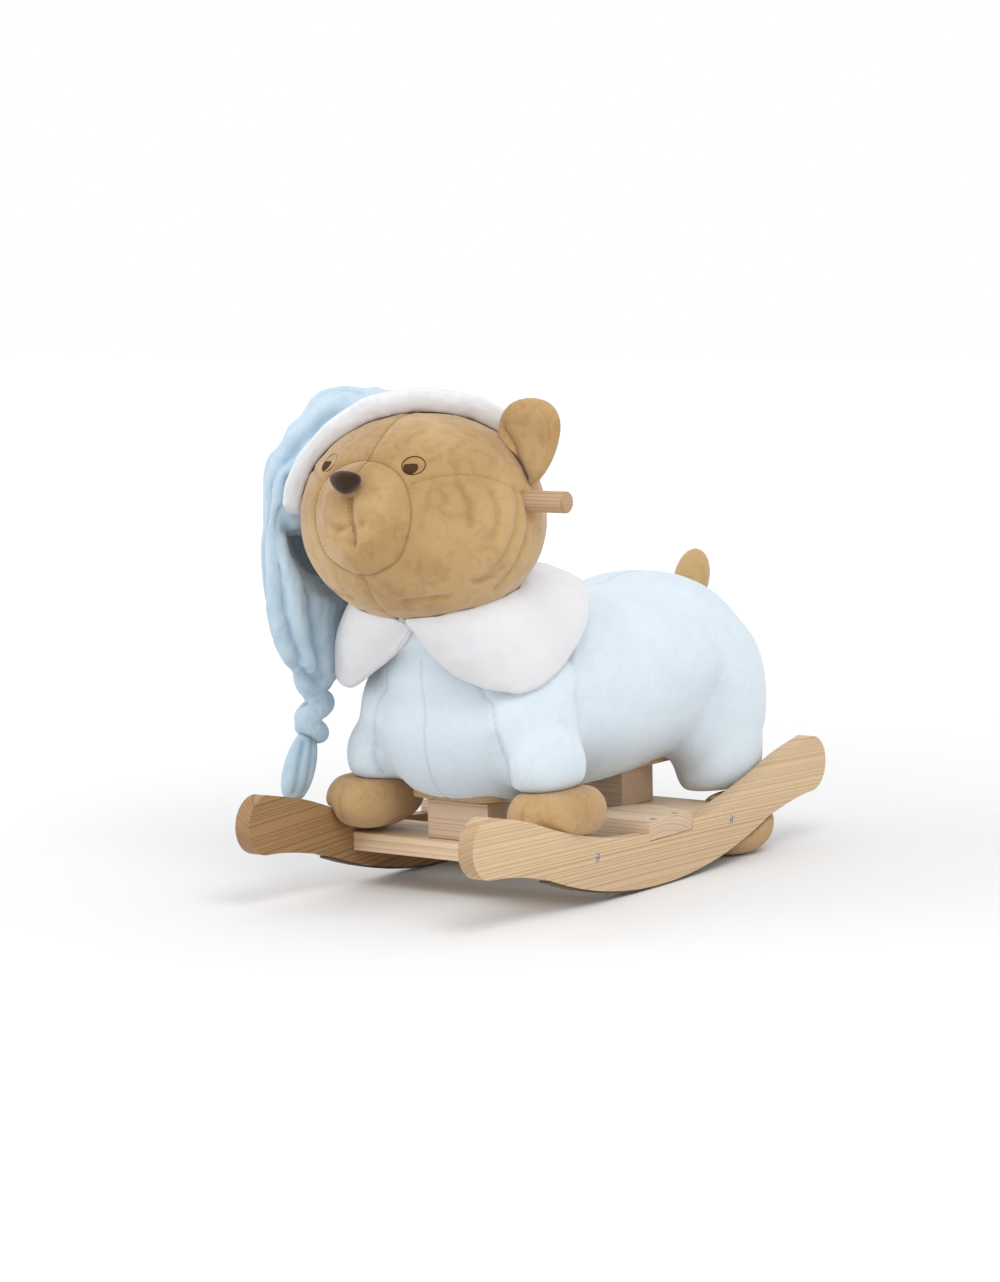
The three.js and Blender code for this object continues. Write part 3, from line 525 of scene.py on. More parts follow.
# %% Cut a board and round its edges
def sawn_board(outline, x0, x1):
    bm = bmesh.new()
    face = bm.faces.new([bm.verts.new(mm(x0, y, z)) for y, z in outline])
    block = bmesh.ops.extrude_face_region(bm, geom=[face])["geom"]
    bmesh.ops.translate(bm, verts=[v for v in block if isinstance(v, bmesh.types.BMVert)],
                        vec=((x1 - x0) / 1000, 0, 0))
    return bm


def rounded(bm, radius, sharper_than=40, longer_than=0.004, segments=3):
    bmesh.ops.recalc_face_normals(bm, faces=bm.faces)
    edges = [e for e in bm.edges if e.is_manifold and e.calc_face_angle() > math.radians(sharper_than)
             and e.calc_length() > longer_than]
    bmesh.ops.bevel(bm, geom=edges, offset=radius / 1000, segments=segments, profile=0.5, affect="EDGES",
                    material=-1, clamp_overlap=True, offset_type="OFFSET")
    return bm


def carved(obj, cutters):
    """Takes the cutters out of a solid, as a chisel or a drill does."""
    for cutter in cutters:
        cut = obj.modifiers.new("cut", "BOOLEAN")
        cut.operation = "DIFFERENCE"
        cut.solver = "EXACT"
        cut.object = cutter
    baked(obj)
    for cutter in cutters:
        bpy.data.objects.remove(cutter)
    return obj


def loose(name, bm):
    bmesh.ops.recalc_face_normals(bm, faces=bm.faces)
    obj = bpy.data.objects.new(name, bpy.data.meshes.new(name))
    bm.to_mesh(obj.data)
    bm.free()
    scene.collection.objects.link(obj)
    return obj


# %% Holes for countersunk screws
def spun(profile, place, way, sides=28):
    """A turned solid: the profile (radius, depth) is spun round the line from place along way."""
    bm = bmesh.new()
    verts = [bm.verts.new((radius / 1000, 0, depth / 1000)) for radius, depth in profile]
    edges = [bm.edges.new(pair) for pair in zip(verts, verts[1:])]
    bmesh.ops.spin(bm, geom=verts + edges, cent=(0, 0, 0), axis=(0, 0, 1), angle=2 * math.pi, steps=sides,
                   use_merge=True)
    bmesh.ops.remove_doubles(bm, verts=bm.verts, dist=1e-6)
    turn = Vector((0, 0, 1)).rotation_difference(Vector(way)).to_matrix().to_4x4()
    bmesh.ops.transform(bm, matrix=Matrix.Translation(place) @ turn, verts=bm.verts)
    bmesh.ops.recalc_face_normals(bm, faces=bm.faces)
    return bm


def screw_line(node):
    """Where a screw's head is, which way it points and how long it is, from its box in the frame."""
    low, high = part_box(node)
    middle, size = (low + high) / 2, high - low
    axis = max(range(3), key=lambda i: size[i])
    way = Vector((0, 0, 0))
    way[axis] = -1.0
    if "rocker_screw_right" in node or node.startswith(("block", "post")):
        way[axis] = 1.0
    return middle - way * size[axis] / 2, way, size[axis] * 1000


def screw_hole(node):
    head, way, length = screw_line(node)
    return loose("hole", spun([(0, -3), (4.9, -3), (4.9, 0.5), (2.6, 2.9), (2.6, length + 1),
                               (0, length + 1)], head, way))


print("screw example:", screw_line("rocker_screw_left_front"))

# %% Two rockers
for side in ("left", "right"):
    low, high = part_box(f"{side}_rocker")
    x0, x1 = (low.x - MIDDLE) * 1000, (high.x - MIDDLE) * 1000
    plank_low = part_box("footrest_plank")[0]
    board = loose(f"{side}_rocker_board", rounded(sawn_board(rocker_outline(), x0, x1), 2.2))
    bm = bmesh.new()
    bmesh.ops.create_cube(bm, size=1)
    notch = ((x0 - 5, x1 + 5), (plank_low.y * 1000 - 0.35,
                                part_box("footrest_screw_left_rear")[1].y * 1000 + 16),
             (plank_low.z * 1000 - 0.35, 160))
    for v in bm.verts:
        v.co = mm(*(pair[0] if share < 0 else pair[1] for pair, share in zip(notch, v.co)))
    cutters = [loose("notch", bm)]
    cutters += [screw_hole(f"{kind}_{side}_{row}") for kind in ("rocker_screw", "footrest_screw")
                for row in ("front", "rear")]
    carved(board, cutters)
    finished(board, rocker_pine[side], [f"{side}_rocker"])

# %% [markdown]
# ## Boards, blocks and footrest
# These parts have the right shape in the frame already, but with knife-sharp edges. A merged
# copy keeps the shape; its long edges are sanded round, and the frame's part is hidden.

# %% Sanded copies
def sanded(node, material, radius, name):
    bm = merged_copy(node)
    bmesh.ops.dissolve_limit(bm, angle_limit=math.radians(1), verts=bm.verts, edges=bm.edges)
    return piece(name, rounded(bm, radius, longer_than=0.0045), material, [node])


sanded("front_cross_board", BOARD_PINE, 2, "front_cross_board_sanded")
sanded("rear_cross_board", BOARD_PINE, 2, "rear_cross_board_sanded")
sanded("front_support_block", BLOCK_PINE, 1.5, "front_block_sanded")
sanded("rear_support_block", BLOCK_PINE, 1.5, "rear_block_sanded")
sanded("footrest_plank", PLANK_PINE, 2.2, "footrest_sanded")
sanded("seat_board", FRAME_PINE, 1.2, "seat_board_sanded")
sanded("head_post", FRAME_PINE, 1.2, "head_post_sanded")
sanded("left_glide_strip", FELT, 0.4, "left_glide_felt")
sanded("right_glide_strip", FELT, 0.4, "right_glide_felt")

# %% [markdown]
# ## Handle
# A turned dowel goes right through the head. Its ends are domed on a sander, so
# the profile is spun with a few points for the rounding instead of a flat disc.

# %% Handle dowel
low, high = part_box("handle_dowel")
RADIUS = (high.z - low.z) * 500
LENGTH = (high.x - low.x) * 1000
ROUND = 2.6
corner = [(RADIUS - ROUND * (1 - math.sin(a)), ROUND * (1 - math.cos(a)))
          for a in (math.pi / 10 * i for i in range(6))]
profile = [(0, 0), *corner, (RADIUS, LENGTH / 2)]
profile += [(r, LENGTH - z) for r, z in corner[::-1]] + [(0, LENGTH)]
start = Vector((low.x, (low.y + high.y) / 2, (low.z + high.z) / 2))
handle = loose("handle_turned", spun(profile, start, (1, 0, 0), 48))
head, way, length = screw_line("dowel_lock_screw")
carved(handle, [loose("hole", spun([(0, -3), (2.6, -3), (2.6, length + 1), (0, length + 1)], head, way))])
finished(handle, DOWEL_PINE, ["handle_dowel"])

# %% [markdown]
# ## Screws
# Zinc-plated, countersunk, with a cross recess. The body is turned by a spin, and two thin
# blocks cut the cross. Zinc is a metal with a soft, slightly uneven gloss.

# %% Zinc
ZINC = bpy.data.materials.new("zinc")
ZINC.use_nodes = True
tree = ZINC.node_tree
shader = tree.nodes["Principled BSDF"]
cloudy = put(tree, "ShaderNodeTexNoise", [("Vector", put(tree, "ShaderNodeTexCoord").outputs["Object"]),
                                          ("Scale", 900.0), ("Detail", 3.0)])
tree.links.new(mixed(tree, cloudy.outputs[0], (0.62, 0.63, 0.64, 1), (0.42, 0.43, 0.45, 1)),
               shader.inputs["Base Color"])
tree.links.new(plus(tree, 0.22, times(tree, cloudy.outputs[0], 0.25)), shader.inputs["Roughness"])
shader.inputs["Metallic"].default_value = 1.0
print("zinc ready")


# %% Turned screws
def turned_screw(node):
    head, way, length = screw_line(node)
    profile = [(0, 0), (3.9, 0), (4.25, 0.15), (4.3, 0.4), (2.2, 2.5), (2.2, length - 6),
               (1.4, length - 2.5), (0, length)]
    screw = loose(node + "_turned", spun(profile, head, way, 20))
    cross = []
    for wide, high_ in ((4.6, 0.9), (0.9, 4.6)):
        bm = bmesh.new()
        bmesh.ops.create_cube(bm, size=1)
        bmesh.ops.scale(bm, vec=(wide / 1000, high_ / 1000, 0.0036), verts=bm.verts)
        turn = Vector((0, 0, 1)).rotation_difference(way).to_matrix().to_4x4()
        bmesh.ops.transform(bm, matrix=Matrix.Translation(head) @ turn, verts=bm.verts)
        cross.append(loose("cross", bm))
    carved(screw, cross)
    return finished(screw, ZINC, [node])


for node in sorted(n for n in nodes if "screw" in n):
    turned_screw(node)

# %% [markdown]
# ## Stuffed shapes
# A stuffed toy is cut flat, sewn into a bag and filled until the cloth is tight. Here balls
# drawn out towards rounded boxes stand for the stuffing. Those that share one skin are
# wrapped together, the skin is smoothed, and a short cloth simulation blows it up, held to a
# few millimetres so that it keeps the frame's size. Seams and folds come last of all.

# %% Helpers: balls of stuffing under one skin
def ball(bm, at, radii, side=2.2, end=2.2, turn=0.0, lean=0.0, fine=5):
    made = bmesh.ops.create_icosphere(bm, subdivisions=fine, radius=1)["verts"]
    for v in made:
        ring = (abs(v.co.x) ** side + abs(v.co.z) ** side) ** (end / side)
        v.co *= (ring + abs(v.co.y) ** end) ** (-1 / end)
    size = Matrix.Diagonal([r / 1000 for r in radii]).to_4x4()
    angle = Matrix.Rotation(math.radians(turn), 4, "Z") @ Matrix.Rotation(math.radians(-lean), 4, "X")
    bmesh.ops.transform(bm, matrix=Matrix.Translation(mm(*at)) @ angle @ size, verts=made)
    return made


def skinned(name, bm, voxel_mm, soften):
    obj = loose(name, bm)
    skin = obj.modifiers.new("skin", "REMESH")
    skin.mode = "VOXEL"
    skin.voxel_size = voxel_mm / 1000
    ease = obj.modifiers.new("ease", "SMOOTH")
    ease.factor = 0.5
    ease.iterations = soften
    return baked(obj)


def points_of(obj):
    co = np.empty(len(obj.data.vertices) * 3)
    obj.data.vertices.foreach_get("co", co)
    return co.reshape(-1, 3)


def normals_of(obj):
    out = np.empty(len(obj.data.vertices) * 3)
    obj.data.vertex_normals.foreach_get("vector", out)
    return out.reshape(-1, 3)


def set_points(obj, co):
    obj.data.vertices.foreach_set("co", np.ascontiguousarray(co).ravel())
    obj.data.update()


def plumped(obj, limit_mm, pressure=4.0, frames=20):
    """A short cloth simulation with air inside; no point moves further than the limit."""
    rest = points_of(obj)
    cloth = obj.modifiers.new("air", "CLOTH")
    cloth.settings.use_pressure = True
    cloth.settings.uniform_pressure_force = pressure
    cloth.settings.effector_weights.gravity = 0
    cloth.settings.quality = 4
    cloth.point_cache.frame_end = frames
    for step in range(1, frames + 1):
        scene.frame_set(step)
    blown = bpy.data.meshes.new_from_object(obj.evaluated_get(bpy.context.evaluated_depsgraph_get()))
    co = np.empty(len(blown.vertices) * 3)
    blown.vertices.foreach_get("co", co)
    move = co.reshape(-1, 3) - rest
    reach = np.linalg.norm(move, axis=1, keepdims=True)
    move *= np.minimum(1, limit_mm / 1000 / np.maximum(reach, 1e-9))
    obj.modifiers.clear()
    bpy.data.meshes.remove(blown)
    scene.frame_set(1)
    set_points(obj, rest + move)
    print(f"{obj.name} blown up by {reach.mean() * 1000:.1f} mm on average, held to {limit_mm}")
    return obj


def divided(obj, levels=1):
    smooth = obj.modifiers.new("finer", "SUBSURF")
    smooth.levels = smooth.render_levels = levels
    return baked(obj)


print("stuffing helpers ready")


# %% Helpers: seams and folds
def tree_of(obj):
    return BVHTree.FromObject(obj, bpy.context.evaluated_depsgraph_get())


def run_on(tree, places, lift_mm=0.0, steps=12):
    """A smooth line through the places, laid on the surface."""
    line = []
    for point in smooth_run([mm(*p) for p in places], steps):
        spot, normal, _, _ = tree.find_nearest(point)
        line.append(spot + normal * lift_mm / 1000)
    return line


def nearness(co, line, width_mm):
    """1 on the line, falling softly to 0 over the width."""
    line = np.array([p[:] for p in line])
    width = width_mm / 1000
    close = np.zeros(len(co))
    near = np.all((co > line.min(0) - 3 * width) & (co < line.max(0) + 3 * width), axis=1)
    spots = np.flatnonzero(near)
    for part in np.array_split(spots, max(1, len(spots) // 4000)):
        if len(part):
            a, b = line[:-1], line[1:]
            t = np.clip(((co[part, None] - a) * (b - a)).sum(2) / np.maximum(((b - a) ** 2).sum(1), 1e-12),
                        0, 1)
            gap = np.linalg.norm(co[part, None] - (a + t[..., None] * (b - a)), axis=2).min(1)
            close[part] = np.exp(-(gap / width) ** 2)
    return close


def marks(obj, name):
    kept = obj.data.attributes.get(name) or obj.data.attributes.new(name, "FLOAT", "POINT")
    values = np.empty(len(obj.data.vertices), np.float32)
    kept.data.foreach_get("value", values)
    return kept, values


def pressed(obj, line, depth_mm, width_mm, mark="seam_line_and_shade", tight=0.35, strength=1.0):
    """Pulls the surface in along a line (or out, for a ridge) and marks the place for the finish.
    The plush finish darkens seam and fold marks: painted shade in folds, and the sewn line with
    painted shade in its groove at seams.
    """
    co = points_of(obj)
    normal = normals_of(obj)
    close = nearness(co, line, width_mm)
    set_points(obj, co - normal * (close * depth_mm / 1000)[:, None])
    kept, values = marks(obj, mark)
    values = np.maximum(values, strength * nearness(co, line, width_mm * tight))
    kept.data.foreach_set("value", values.astype(np.float32))
    return obj


def crumpled(obj, size_mm, height_mm, stretch=(1, 1, 1), seed=0, where=None):
    """Shallow creases over the whole surface, as loose cloth has."""
    co = points_of(obj)
    normal = normals_of(obj)
    amount = np.array([noise.fractal(Vector(p * stretch * 1000 / size_mm) + Vector((seed, 0, 0)), 0.9, 2.1,
                                     3) for p in co])
    amount = 1 - 2 * np.abs(amount)
    if where is not None:
        amount = amount * where(co)
    set_points(obj, co + normal * (amount * height_mm / 1000)[:, None])
    return obj


def kept_off(obj, tree, gap_mm, reach_mm=60):
    """Moves every point that lies inside a neighbour, or nearer than the gap, out to the gap."""
    co = points_of(obj)
    moved = 0
    for i, point in enumerate(co):
        spot, normal, _, distance = tree.find_nearest(Vector(point), reach_mm / 1000)
        if spot is not None and (Vector(point) - spot).dot(normal) < gap_mm / 1000:
            co[i] = spot + normal * (gap_mm / 1000)
            moved += 1
    set_points(obj, co)
    print(f"{obj.name}: {moved} points kept off a neighbour")
    return obj


def tube(name, line, radius_mm, material, sides=8, closed=False, body="root"):
    """A sewn-in cord or a fat thread along a line."""
    curve = bpy.data.curves.new(name, "CURVE")
    curve.dimensions = "3D"
    curve.bevel_depth = radius_mm / 1000
    curve.bevel_resolution = max(0, sides // 2 - 2)
    curve.use_fill_caps = True
    spline = curve.splines.new("POLY")
    spline.points.add(len(line) - 1)
    for spot, point in zip(spline.points, line):
        spot.co = (*point, 1)
    spline.use_cyclic_u = closed
    drawn = bpy.data.objects.new(name, curve)
    scene.collection.objects.link(drawn)
    bpy.context.view_layer.update()
    mesh = bpy.data.meshes.new_from_object(drawn.evaluated_get(bpy.context.evaluated_depsgraph_get()))
    bpy.data.objects.remove(drawn)
    obj = bpy.data.objects.new(name, mesh)
    return finished(obj, material, [], body, corner=0)


def stitches(name, line, length_mm, gap_mm, radius_mm, material, body="root"):
    """Short threads one after another along a line."""
    points = [Vector(p) for p in line]
    reach = np.cumsum([0] + [(b - a).length for a, b in zip(points, points[1:])])
    bm = bmesh.new()

    def spot(distance):
        i = min(int(np.searchsorted(reach, distance, side="right")) - 1, len(points) - 2)
        share = (distance - reach[i]) / max(reach[i + 1] - reach[i], 1e-9)
        return points[i].lerp(points[i + 1], share)

    pitch = (length_mm + gap_mm) / 1000
    for i in range(int(reach[-1] / pitch)):
        a, b = spot(i * pitch), spot(i * pitch + length_mm / 1000)
        made = bmesh.ops.create_icosphere(bm, subdivisions=1, radius=1)["verts"]
        turn = Vector((0, 0, 1)).rotation_difference(b - a).to_matrix().to_4x4()
        size = Matrix.Diagonal((radius_mm / 1000, radius_mm / 1000, length_mm / 2000)).to_4x4()
        bmesh.ops.transform(bm, matrix=Matrix.Translation((a + b) / 2) @ turn @ size, verts=made)
    return piece(name, bm, material, [], body, corner=0)


print("seam helpers ready")

# %% [markdown]
# ## Sleepsuit
# One blue plush skin holds the barrel of the body, the hips, the shoulders and four short
# legs. Its underside lies flat on the boards. Cuffs are tucked in round the paws.

# %% Suit skin
CUFF, ANKLE, UNDERSIDE = 121, 70, 103.5
bm = bmesh.new()
ball(bm, (0, 68, 200), (126, 236, 100), 2.4, 2.4, lean=-2, fine=6)
ball(bm, (0, 184, 206), (117, 121, 104), 2.2, 2.3)
ball(bm, (0, -152, 290), (96, 84, 34), 2, 2.4)
ball(bm, (0, -134, 240), (100, 80, 76), 2.0, 2.0)
ball(bm, (0, -76, 289), (93, 58, 44), 2.0, 2.0)
ball(bm, (0, -122, 172), (100, 90, 76), 2.4, 2.4)
for way in (1, -1):
    ball(bm, (way * 84, -132, 186), (40, 64, 76), 2.1, 2.1)
    ball(bm, (way * 104, -146, 144), (36, 50, 45), 2.1, 2.4)
    ball(bm, (way * 86, 214, 112), (40, 60, 64), 2.3, 2.4)
    ball(bm, (way * 84, 208, 170), (42, 84, 90), 2.3, 2.4)
for v in bm.verts:
    x, y, z = (v.co.x - MIDDLE) * 1000, v.co.y * 1000, v.co.z * 1000
    floor_here = UNDERSIDE
    if y < -60 and abs(x) > 66:
        floor_here = CUFF
    if y > 140 and abs(x) > 40:
        floor_here = ANKLE
    if z < floor_here:
        v.co.z = (floor_here - 0.04 * (floor_here - z)) / 1000
suit = skinned("sleepsuit", bm, 5, 22)
plumped(suit, 4)
divided(suit)
print("suit points:", len(suit.data.vertices))

# %% Suit seams and folds
tree = tree_of(suit)
chest_seam = run_on(tree, [(0, -190, 262), (0, -214, 225), (0, -212, 170), (0, -180, 118), (0, -120, 104)])
pressed(suit, chest_seam, 0.9, 3)
back_seam = run_on(tree, [(0, -60, 310), (0, 60, 308), (0, 180, 305), (0, 285, 265), (0, 308, 200),
                          (0, 290, 130), (0, 230, 104)])
pressed(suit, back_seam, 1.4, 5)
for way in (1, -1):
    shoulder = run_on(tree, [(way * x, y, z) for x, y, z in
                             [(60, -212, 262), (70, -208, 220), (80, -205, 180), (82, -200, 150),
                              (80, -180, 122)]])
    pressed(suit, shoulder, 1.5, 3)
    # The front crease and the fold under the arm carry fold marks, so the finish paints shade into them.
    front_crease = run_on(tree, [(way * x, y, z) for x, y,
                                 z in [(78, -205, 175), (80, -200, 150), (78, -186, 126)]])
    pressed(suit, front_crease, 2.2, 8, "fold_shade", 0.8, 0.4)
    under_arm = run_on(tree, [(way * x, y, z) for x, y,
                              z in [(112, -84, 128), (124, -82, 150), (130, -90, 180), (128, -100, 214)]])
    pressed(suit, under_arm, 3.0, 9, "fold_shade", 0.8, 0.5)
finished(suit, SUIT, ["torso", "neck", "left_sleeve", "right_sleeve", "left_thigh", "right_thigh",
                      "underside_cover"], corner=0)

# %% [markdown]
# ## Paws and feet
# Four bags of brown plush fill the cuffs. The frame's plain solids already give way to the
# rockers that they rest on, so a softened copy of each is the starting shape.

# %% Four paws
def softened_copy(node, name, voxel_mm, soften):
    return skinned(name, merged_copy(node), voxel_mm, soften)


for side, way in (("left", 1), ("right", -1)):
    paw = softened_copy(f"{side}_front_paw", f"{side}_paw_stuffed", 3.0, 14)
    plumped(paw, 2.5)
    tree = tree_of(paw)
    toe_seam = run_on(tree, [(way * 117, -200, 118), (way * 117, -212, 100), (way * 117, -204, 78),
                             (way * 117, -180, 66)])
    pressed(paw, toe_seam, 1.2, 3)
    divided(paw)
    finished(paw, PAW, [f"{side}_front_paw"], corner=0)
    foot = softened_copy(f"{side}_rear_foot", f"{side}_foot_stuffed", 3.0, 14)
    plumped(foot, 2.0)
    tree = tree_of(foot)
    heel_seam = run_on(tree, [(way * 112, 254, 60), (way * 112, 260, 36), (way * 112, 250, 10)])
    pressed(foot, heel_seam, 1.2, 3)
    divided(foot)
    finished(foot, PAW, [f"{side}_rear_foot"], corner=0)

# %% Tail
tail = softened_copy("tail", "tail_stuffed", 2.2, 16)
plumped(tail, 2)
divided(tail)
finished(tail, VELOUR, ["tail"], corner=0)

# %% [markdown]
# ## Head
# The head is a broad ball with a short muzzle sewn on. The seam round the muzzle, the one
# from the forehead to the nose, the cheek seams and the chin seam pull the velour in, and
# the mouth is a dent that a few long stitches hold.

# %% Head skin
bm = bmesh.new()
ball(bm, (0, -208, 401), (129, 115, 107), 2.05, 2.05, fine=6)
ball(bm, (0, -297, 405), (56, 36, 60), 2, 2)
head = skinned("head_stuffed", bm, 4, 7)
plumped(head, 3)
divided(head)
print("head points:", len(head.data.vertices))

# %% Head seams
head_tree = tree_of(head)
forehead = run_on(head_tree, [(-6, -200, 512), (-5, -229, 508), (0, -265, 492), (3, -298, 471),
                              (0, -330, 452)])
pressed(head, forehead, 1.2, 2.8, strength=0.5)
chin = run_on(head_tree, [(0, -312, 352), (0, -305, 335), (-3, -285, 318), (0, -250, 300)])
pressed(head, chin, 1.6, 3.5, strength=0.5)
muzzle_ring = [(0, -306, 473), (28, -306, 466), (50, -306, 447), (59, -306, 418), (57, -312, 391),
               (40, -312, 364),
               (0, -312, 351), (-40, -312, 364), (-57, -312, 391), (-59, -306, 418), (-50, -306, 447),
               (-28, -306, 466), (0, -306, 473)]
muzzle_line = run_on(head_tree, muzzle_ring)
pressed(head, muzzle_line, 2.0, 3.2, strength=0.6)
# The mouth dent carries a full seam mark, which darkens it: painted shade in the dent as well as the sewn
# line.
mouth = run_on(head_tree, [(0, -334, 432), (1, -337, 418), (3, -336, 404), (5, -334, 394), (3, -330, 383)])
pressed(head, mouth, 6.0, 6)
for way in (1, -1):
    cheek = run_on(head_tree, [(way * x, y, z) for x, y,
                               z in [(56, -303, 444), (80, -285, 452), (102, -257, 451), (122, -221, 437),
                                     (126, -205, 428)]])
    pressed(head, cheek, 1.6, 3.2, strength=0.5)
# The lip crease and the puckers carry fold marks, so the finish paints shade into them.
lip = run_on(head_tree, [(-14, -332, 398), (-4, -335, 400), (6, -335, 401), (16, -332, 404)])
pressed(head, lip, 3.5, 4.5, "fold_shade", 0.7, 0.5)
PUCKERS = [
    [(124, -216, 436), (128, -222, 404), (122, -236, 368), (106, -252, 338)],
    [(129, -204, 430), (131, -204, 396), (126, -214, 356), (112, -226, 326)],
    [(112, -246, 430), (118, -246, 408), (117, -250, 388)],
    [(92, -270, 436), (98, -268, 418), (100, -268, 402)],
    [(118, -234, 352), (104, -246, 344), (96, -256, 346)],
    [(70, -268, 330), (54, -282, 322), (36, -290, 318)],
]
for way in (1, -1):
    for pucker in PUCKERS:
        pressed(head, run_on(head_tree, [(way * x, y, z) for x, y, z in pucker]), 3.4, 5, "fold_shade", 0.8, 0.5)
crumpled(head, 60, 0.9, (1.6, 1.6, 0.7), 5)
finished(head, VELOUR, ["head", "muzzle"], corner=0)
kept_off(suit, head_tree, 1.5)

# %% [markdown]
# ## Ears
# An ear is two pieces of velour sewn round and turned. It is thin, it cups forwards, and the
# cloth folds where its foot is sewn to the head, so the cup and the fold are pressed in after
# the skin is made. The far ear is the same piece mirrored, and the cap presses it down.

# %% Two ears
EAR_X, EAR_Y, EAR_Z = 119, -190, 479
EAR_WIDE, EAR_THICK, EAR_TALL = 39, 12, 45
EAR_CUP, EAR_LEAN, EAR_FLARE = 0.009, 0.005, 0.26
PRESSED_IN, PRESSED_DOWN = 0.016, 0.012
for side, way in (("left", 1), ("right", -1)):
    bm = bmesh.new()
    lobe = ball(bm, (way * EAR_X, EAR_Y, EAR_Z), (EAR_WIDE, EAR_THICK, EAR_TALL), 2.2, 2.2, turn=way * -8)
    centre = mm(way * EAR_X, EAR_Y, EAR_Z)
    for v in lobe:
        sideways, high_ = (v.co.x - centre.x) * 1000 / EAR_WIDE, (v.co.z - centre.z) * 1000 / EAR_TALL
        v.co.y += EAR_CUP * math.exp(-(sideways ** 2 + high_ ** 2) / 0.45)
        if way < 0:
            v.co.x += PRESSED_IN
            v.co.z -= PRESSED_DOWN
        v.co.x += way * EAR_LEAN * high_ + (v.co.x - centre.x) * EAR_FLARE * high_
    ear = skinned(f"{side}_ear_sewn", bm, 2.2, 6)
    kept_off(ear, head_tree, 0.6)
    divided(ear)
    ear_tree = tree_of(ear)
    rim = [(way * (EAR_X + 33 * math.cos(a) + 5 * math.sin(a)), EAR_Y - 15, EAR_Z + 39 * math.sin(a)) for a in
           (math.radians(d) for d in range(-40, 190, 20))]
    rim_line = run_on(ear_tree, rim)
    pressed(ear, rim_line, 0.3, 2.0, strength=0.25)
    # The fold at the ear's foot carries a full seam mark, so the finish paints shade into it.
    foot = run_on(ear_tree, [(way * 88, -206, 492), (way * 104, -205, 476), (way * 108, -206, 458),
                             (way * 112, -206, 440)])
    pressed(ear, foot, 4.0, 6)
    finished(ear, VELOUR, [f"{side}_ear"], corner=0)

# %% [markdown]
# ## Nose and eyes
# The nose is a little three-cornered cushion of dark pile. The eyes are embroidered, so each
# is a round outline of thread and a patch of thread, both laid on the curved face.

# %% Nose
bm = bmesh.new()
middle = mm(0, -334, 446)
for v in ball(bm, (0, -334, 446), (17, 12, 12), 2.0, 2.0, fine=4):
    rise = (v.co.z - middle.z) / 0.012
    v.co.x = middle.x + (v.co.x - middle.x) * (1 + 0.38 * rise)
    v.co.y -= 0.004 * max(0.0, rise) * (1 - abs(v.co.x - middle.x) / 0.025)
nose = skinned("nose_sewn", bm, 1.3, 5)
pressed(nose, [mm(0, -350, 446), mm(0, -349, 440), mm(0, -345, 434)], 1.5, 2.5)
finished(nose, NOSE_VELVET, ["nose"], corner=0)

# %% Helper: a place on the face
def face_place(x, y, z):
    spot, normal, _, _ = head_tree.find_nearest(mm(x, y, z))
    along_face = Vector((0, 0, 1)).cross(normal).normalized()
    return spot, along_face, normal.cross(along_face)


def on_face(place, right, high_, lift_mm):
    spot, normal, _, _ = head_tree.find_nearest(place[0] + place[1] * right / 1000 + place[2] * high_ / 1000)
    return spot + normal * lift_mm / 1000


print("face place:", face_place(53, -293, 462)[0])


# %% Two eyes
def iris_patch(name, place, right, high_, wide):
    """A round patch of satin stitch with its upper edge cut by the lid."""
    bm = bmesh.new()
    bmesh.ops.create_circle(bm, cap_ends=True, cap_tris=False, segments=36, radius=1)
    for depth in (0.25, 0.3, 0.4):
        bmesh.ops.inset_region(bm, faces=[max(bm.faces, key=lambda f: f.calc_area())], thickness=depth * 0.7)
    bmesh.ops.triangulate(bm, faces=bm.faces)
    for v in bm.verts:
        x, y = v.co.x * wide, min(v.co.y, 0.45) * wide
        v.co = on_face(place, right + x, high_ + y, 0.9)
    patch = loose(name, bm)
    thick = patch.modifiers.new("thread", "SOLIDIFY")
    thick.thickness = 0.0012
    thick.offset = 0
    baked(patch)
    return finished(patch, EYE_THREAD, [], corner=0)


for side, way in (("left", 1), ("right", -1)):
    place = face_place(way * 53, -293, 462)
    ring = [on_face(place, 11.8 * math.cos(a), 10.6 * math.sin(a), 0.4)
            for a in (math.pi * i / 24 for i in range(48))]
    tube(f"{side}_eye_outline", ring, 0.55, EYE_THREAD, closed=True)
    iris_patch(f"{side}_eye_iris", place, -2.6, -2.4, 7.2)

# %% Face stitching
for name, line in (("forehead_stitches", forehead), ("muzzle_stitches", muzzle_line),
                   ("mouth_stitches", mouth)):
    lifted = []
    tree = tree_of(head)
    for point in line:
        spot, normal, _, _ = tree.find_nearest(point)
        lifted.append(spot + normal * 0.0003)
    stitches(name, lifted, 2.6, 1.6, 0.38, TAN_THREAD)

# %% [markdown]
# ## Collar
# The collar is two padded halves that meet at the middle of the chest and of the back. Each
# half is drawn between two lines, the neckline under the head and the scalloped rim that
# hangs over the chest and the shoulders. The cloth between them is lifted off the stuffing.

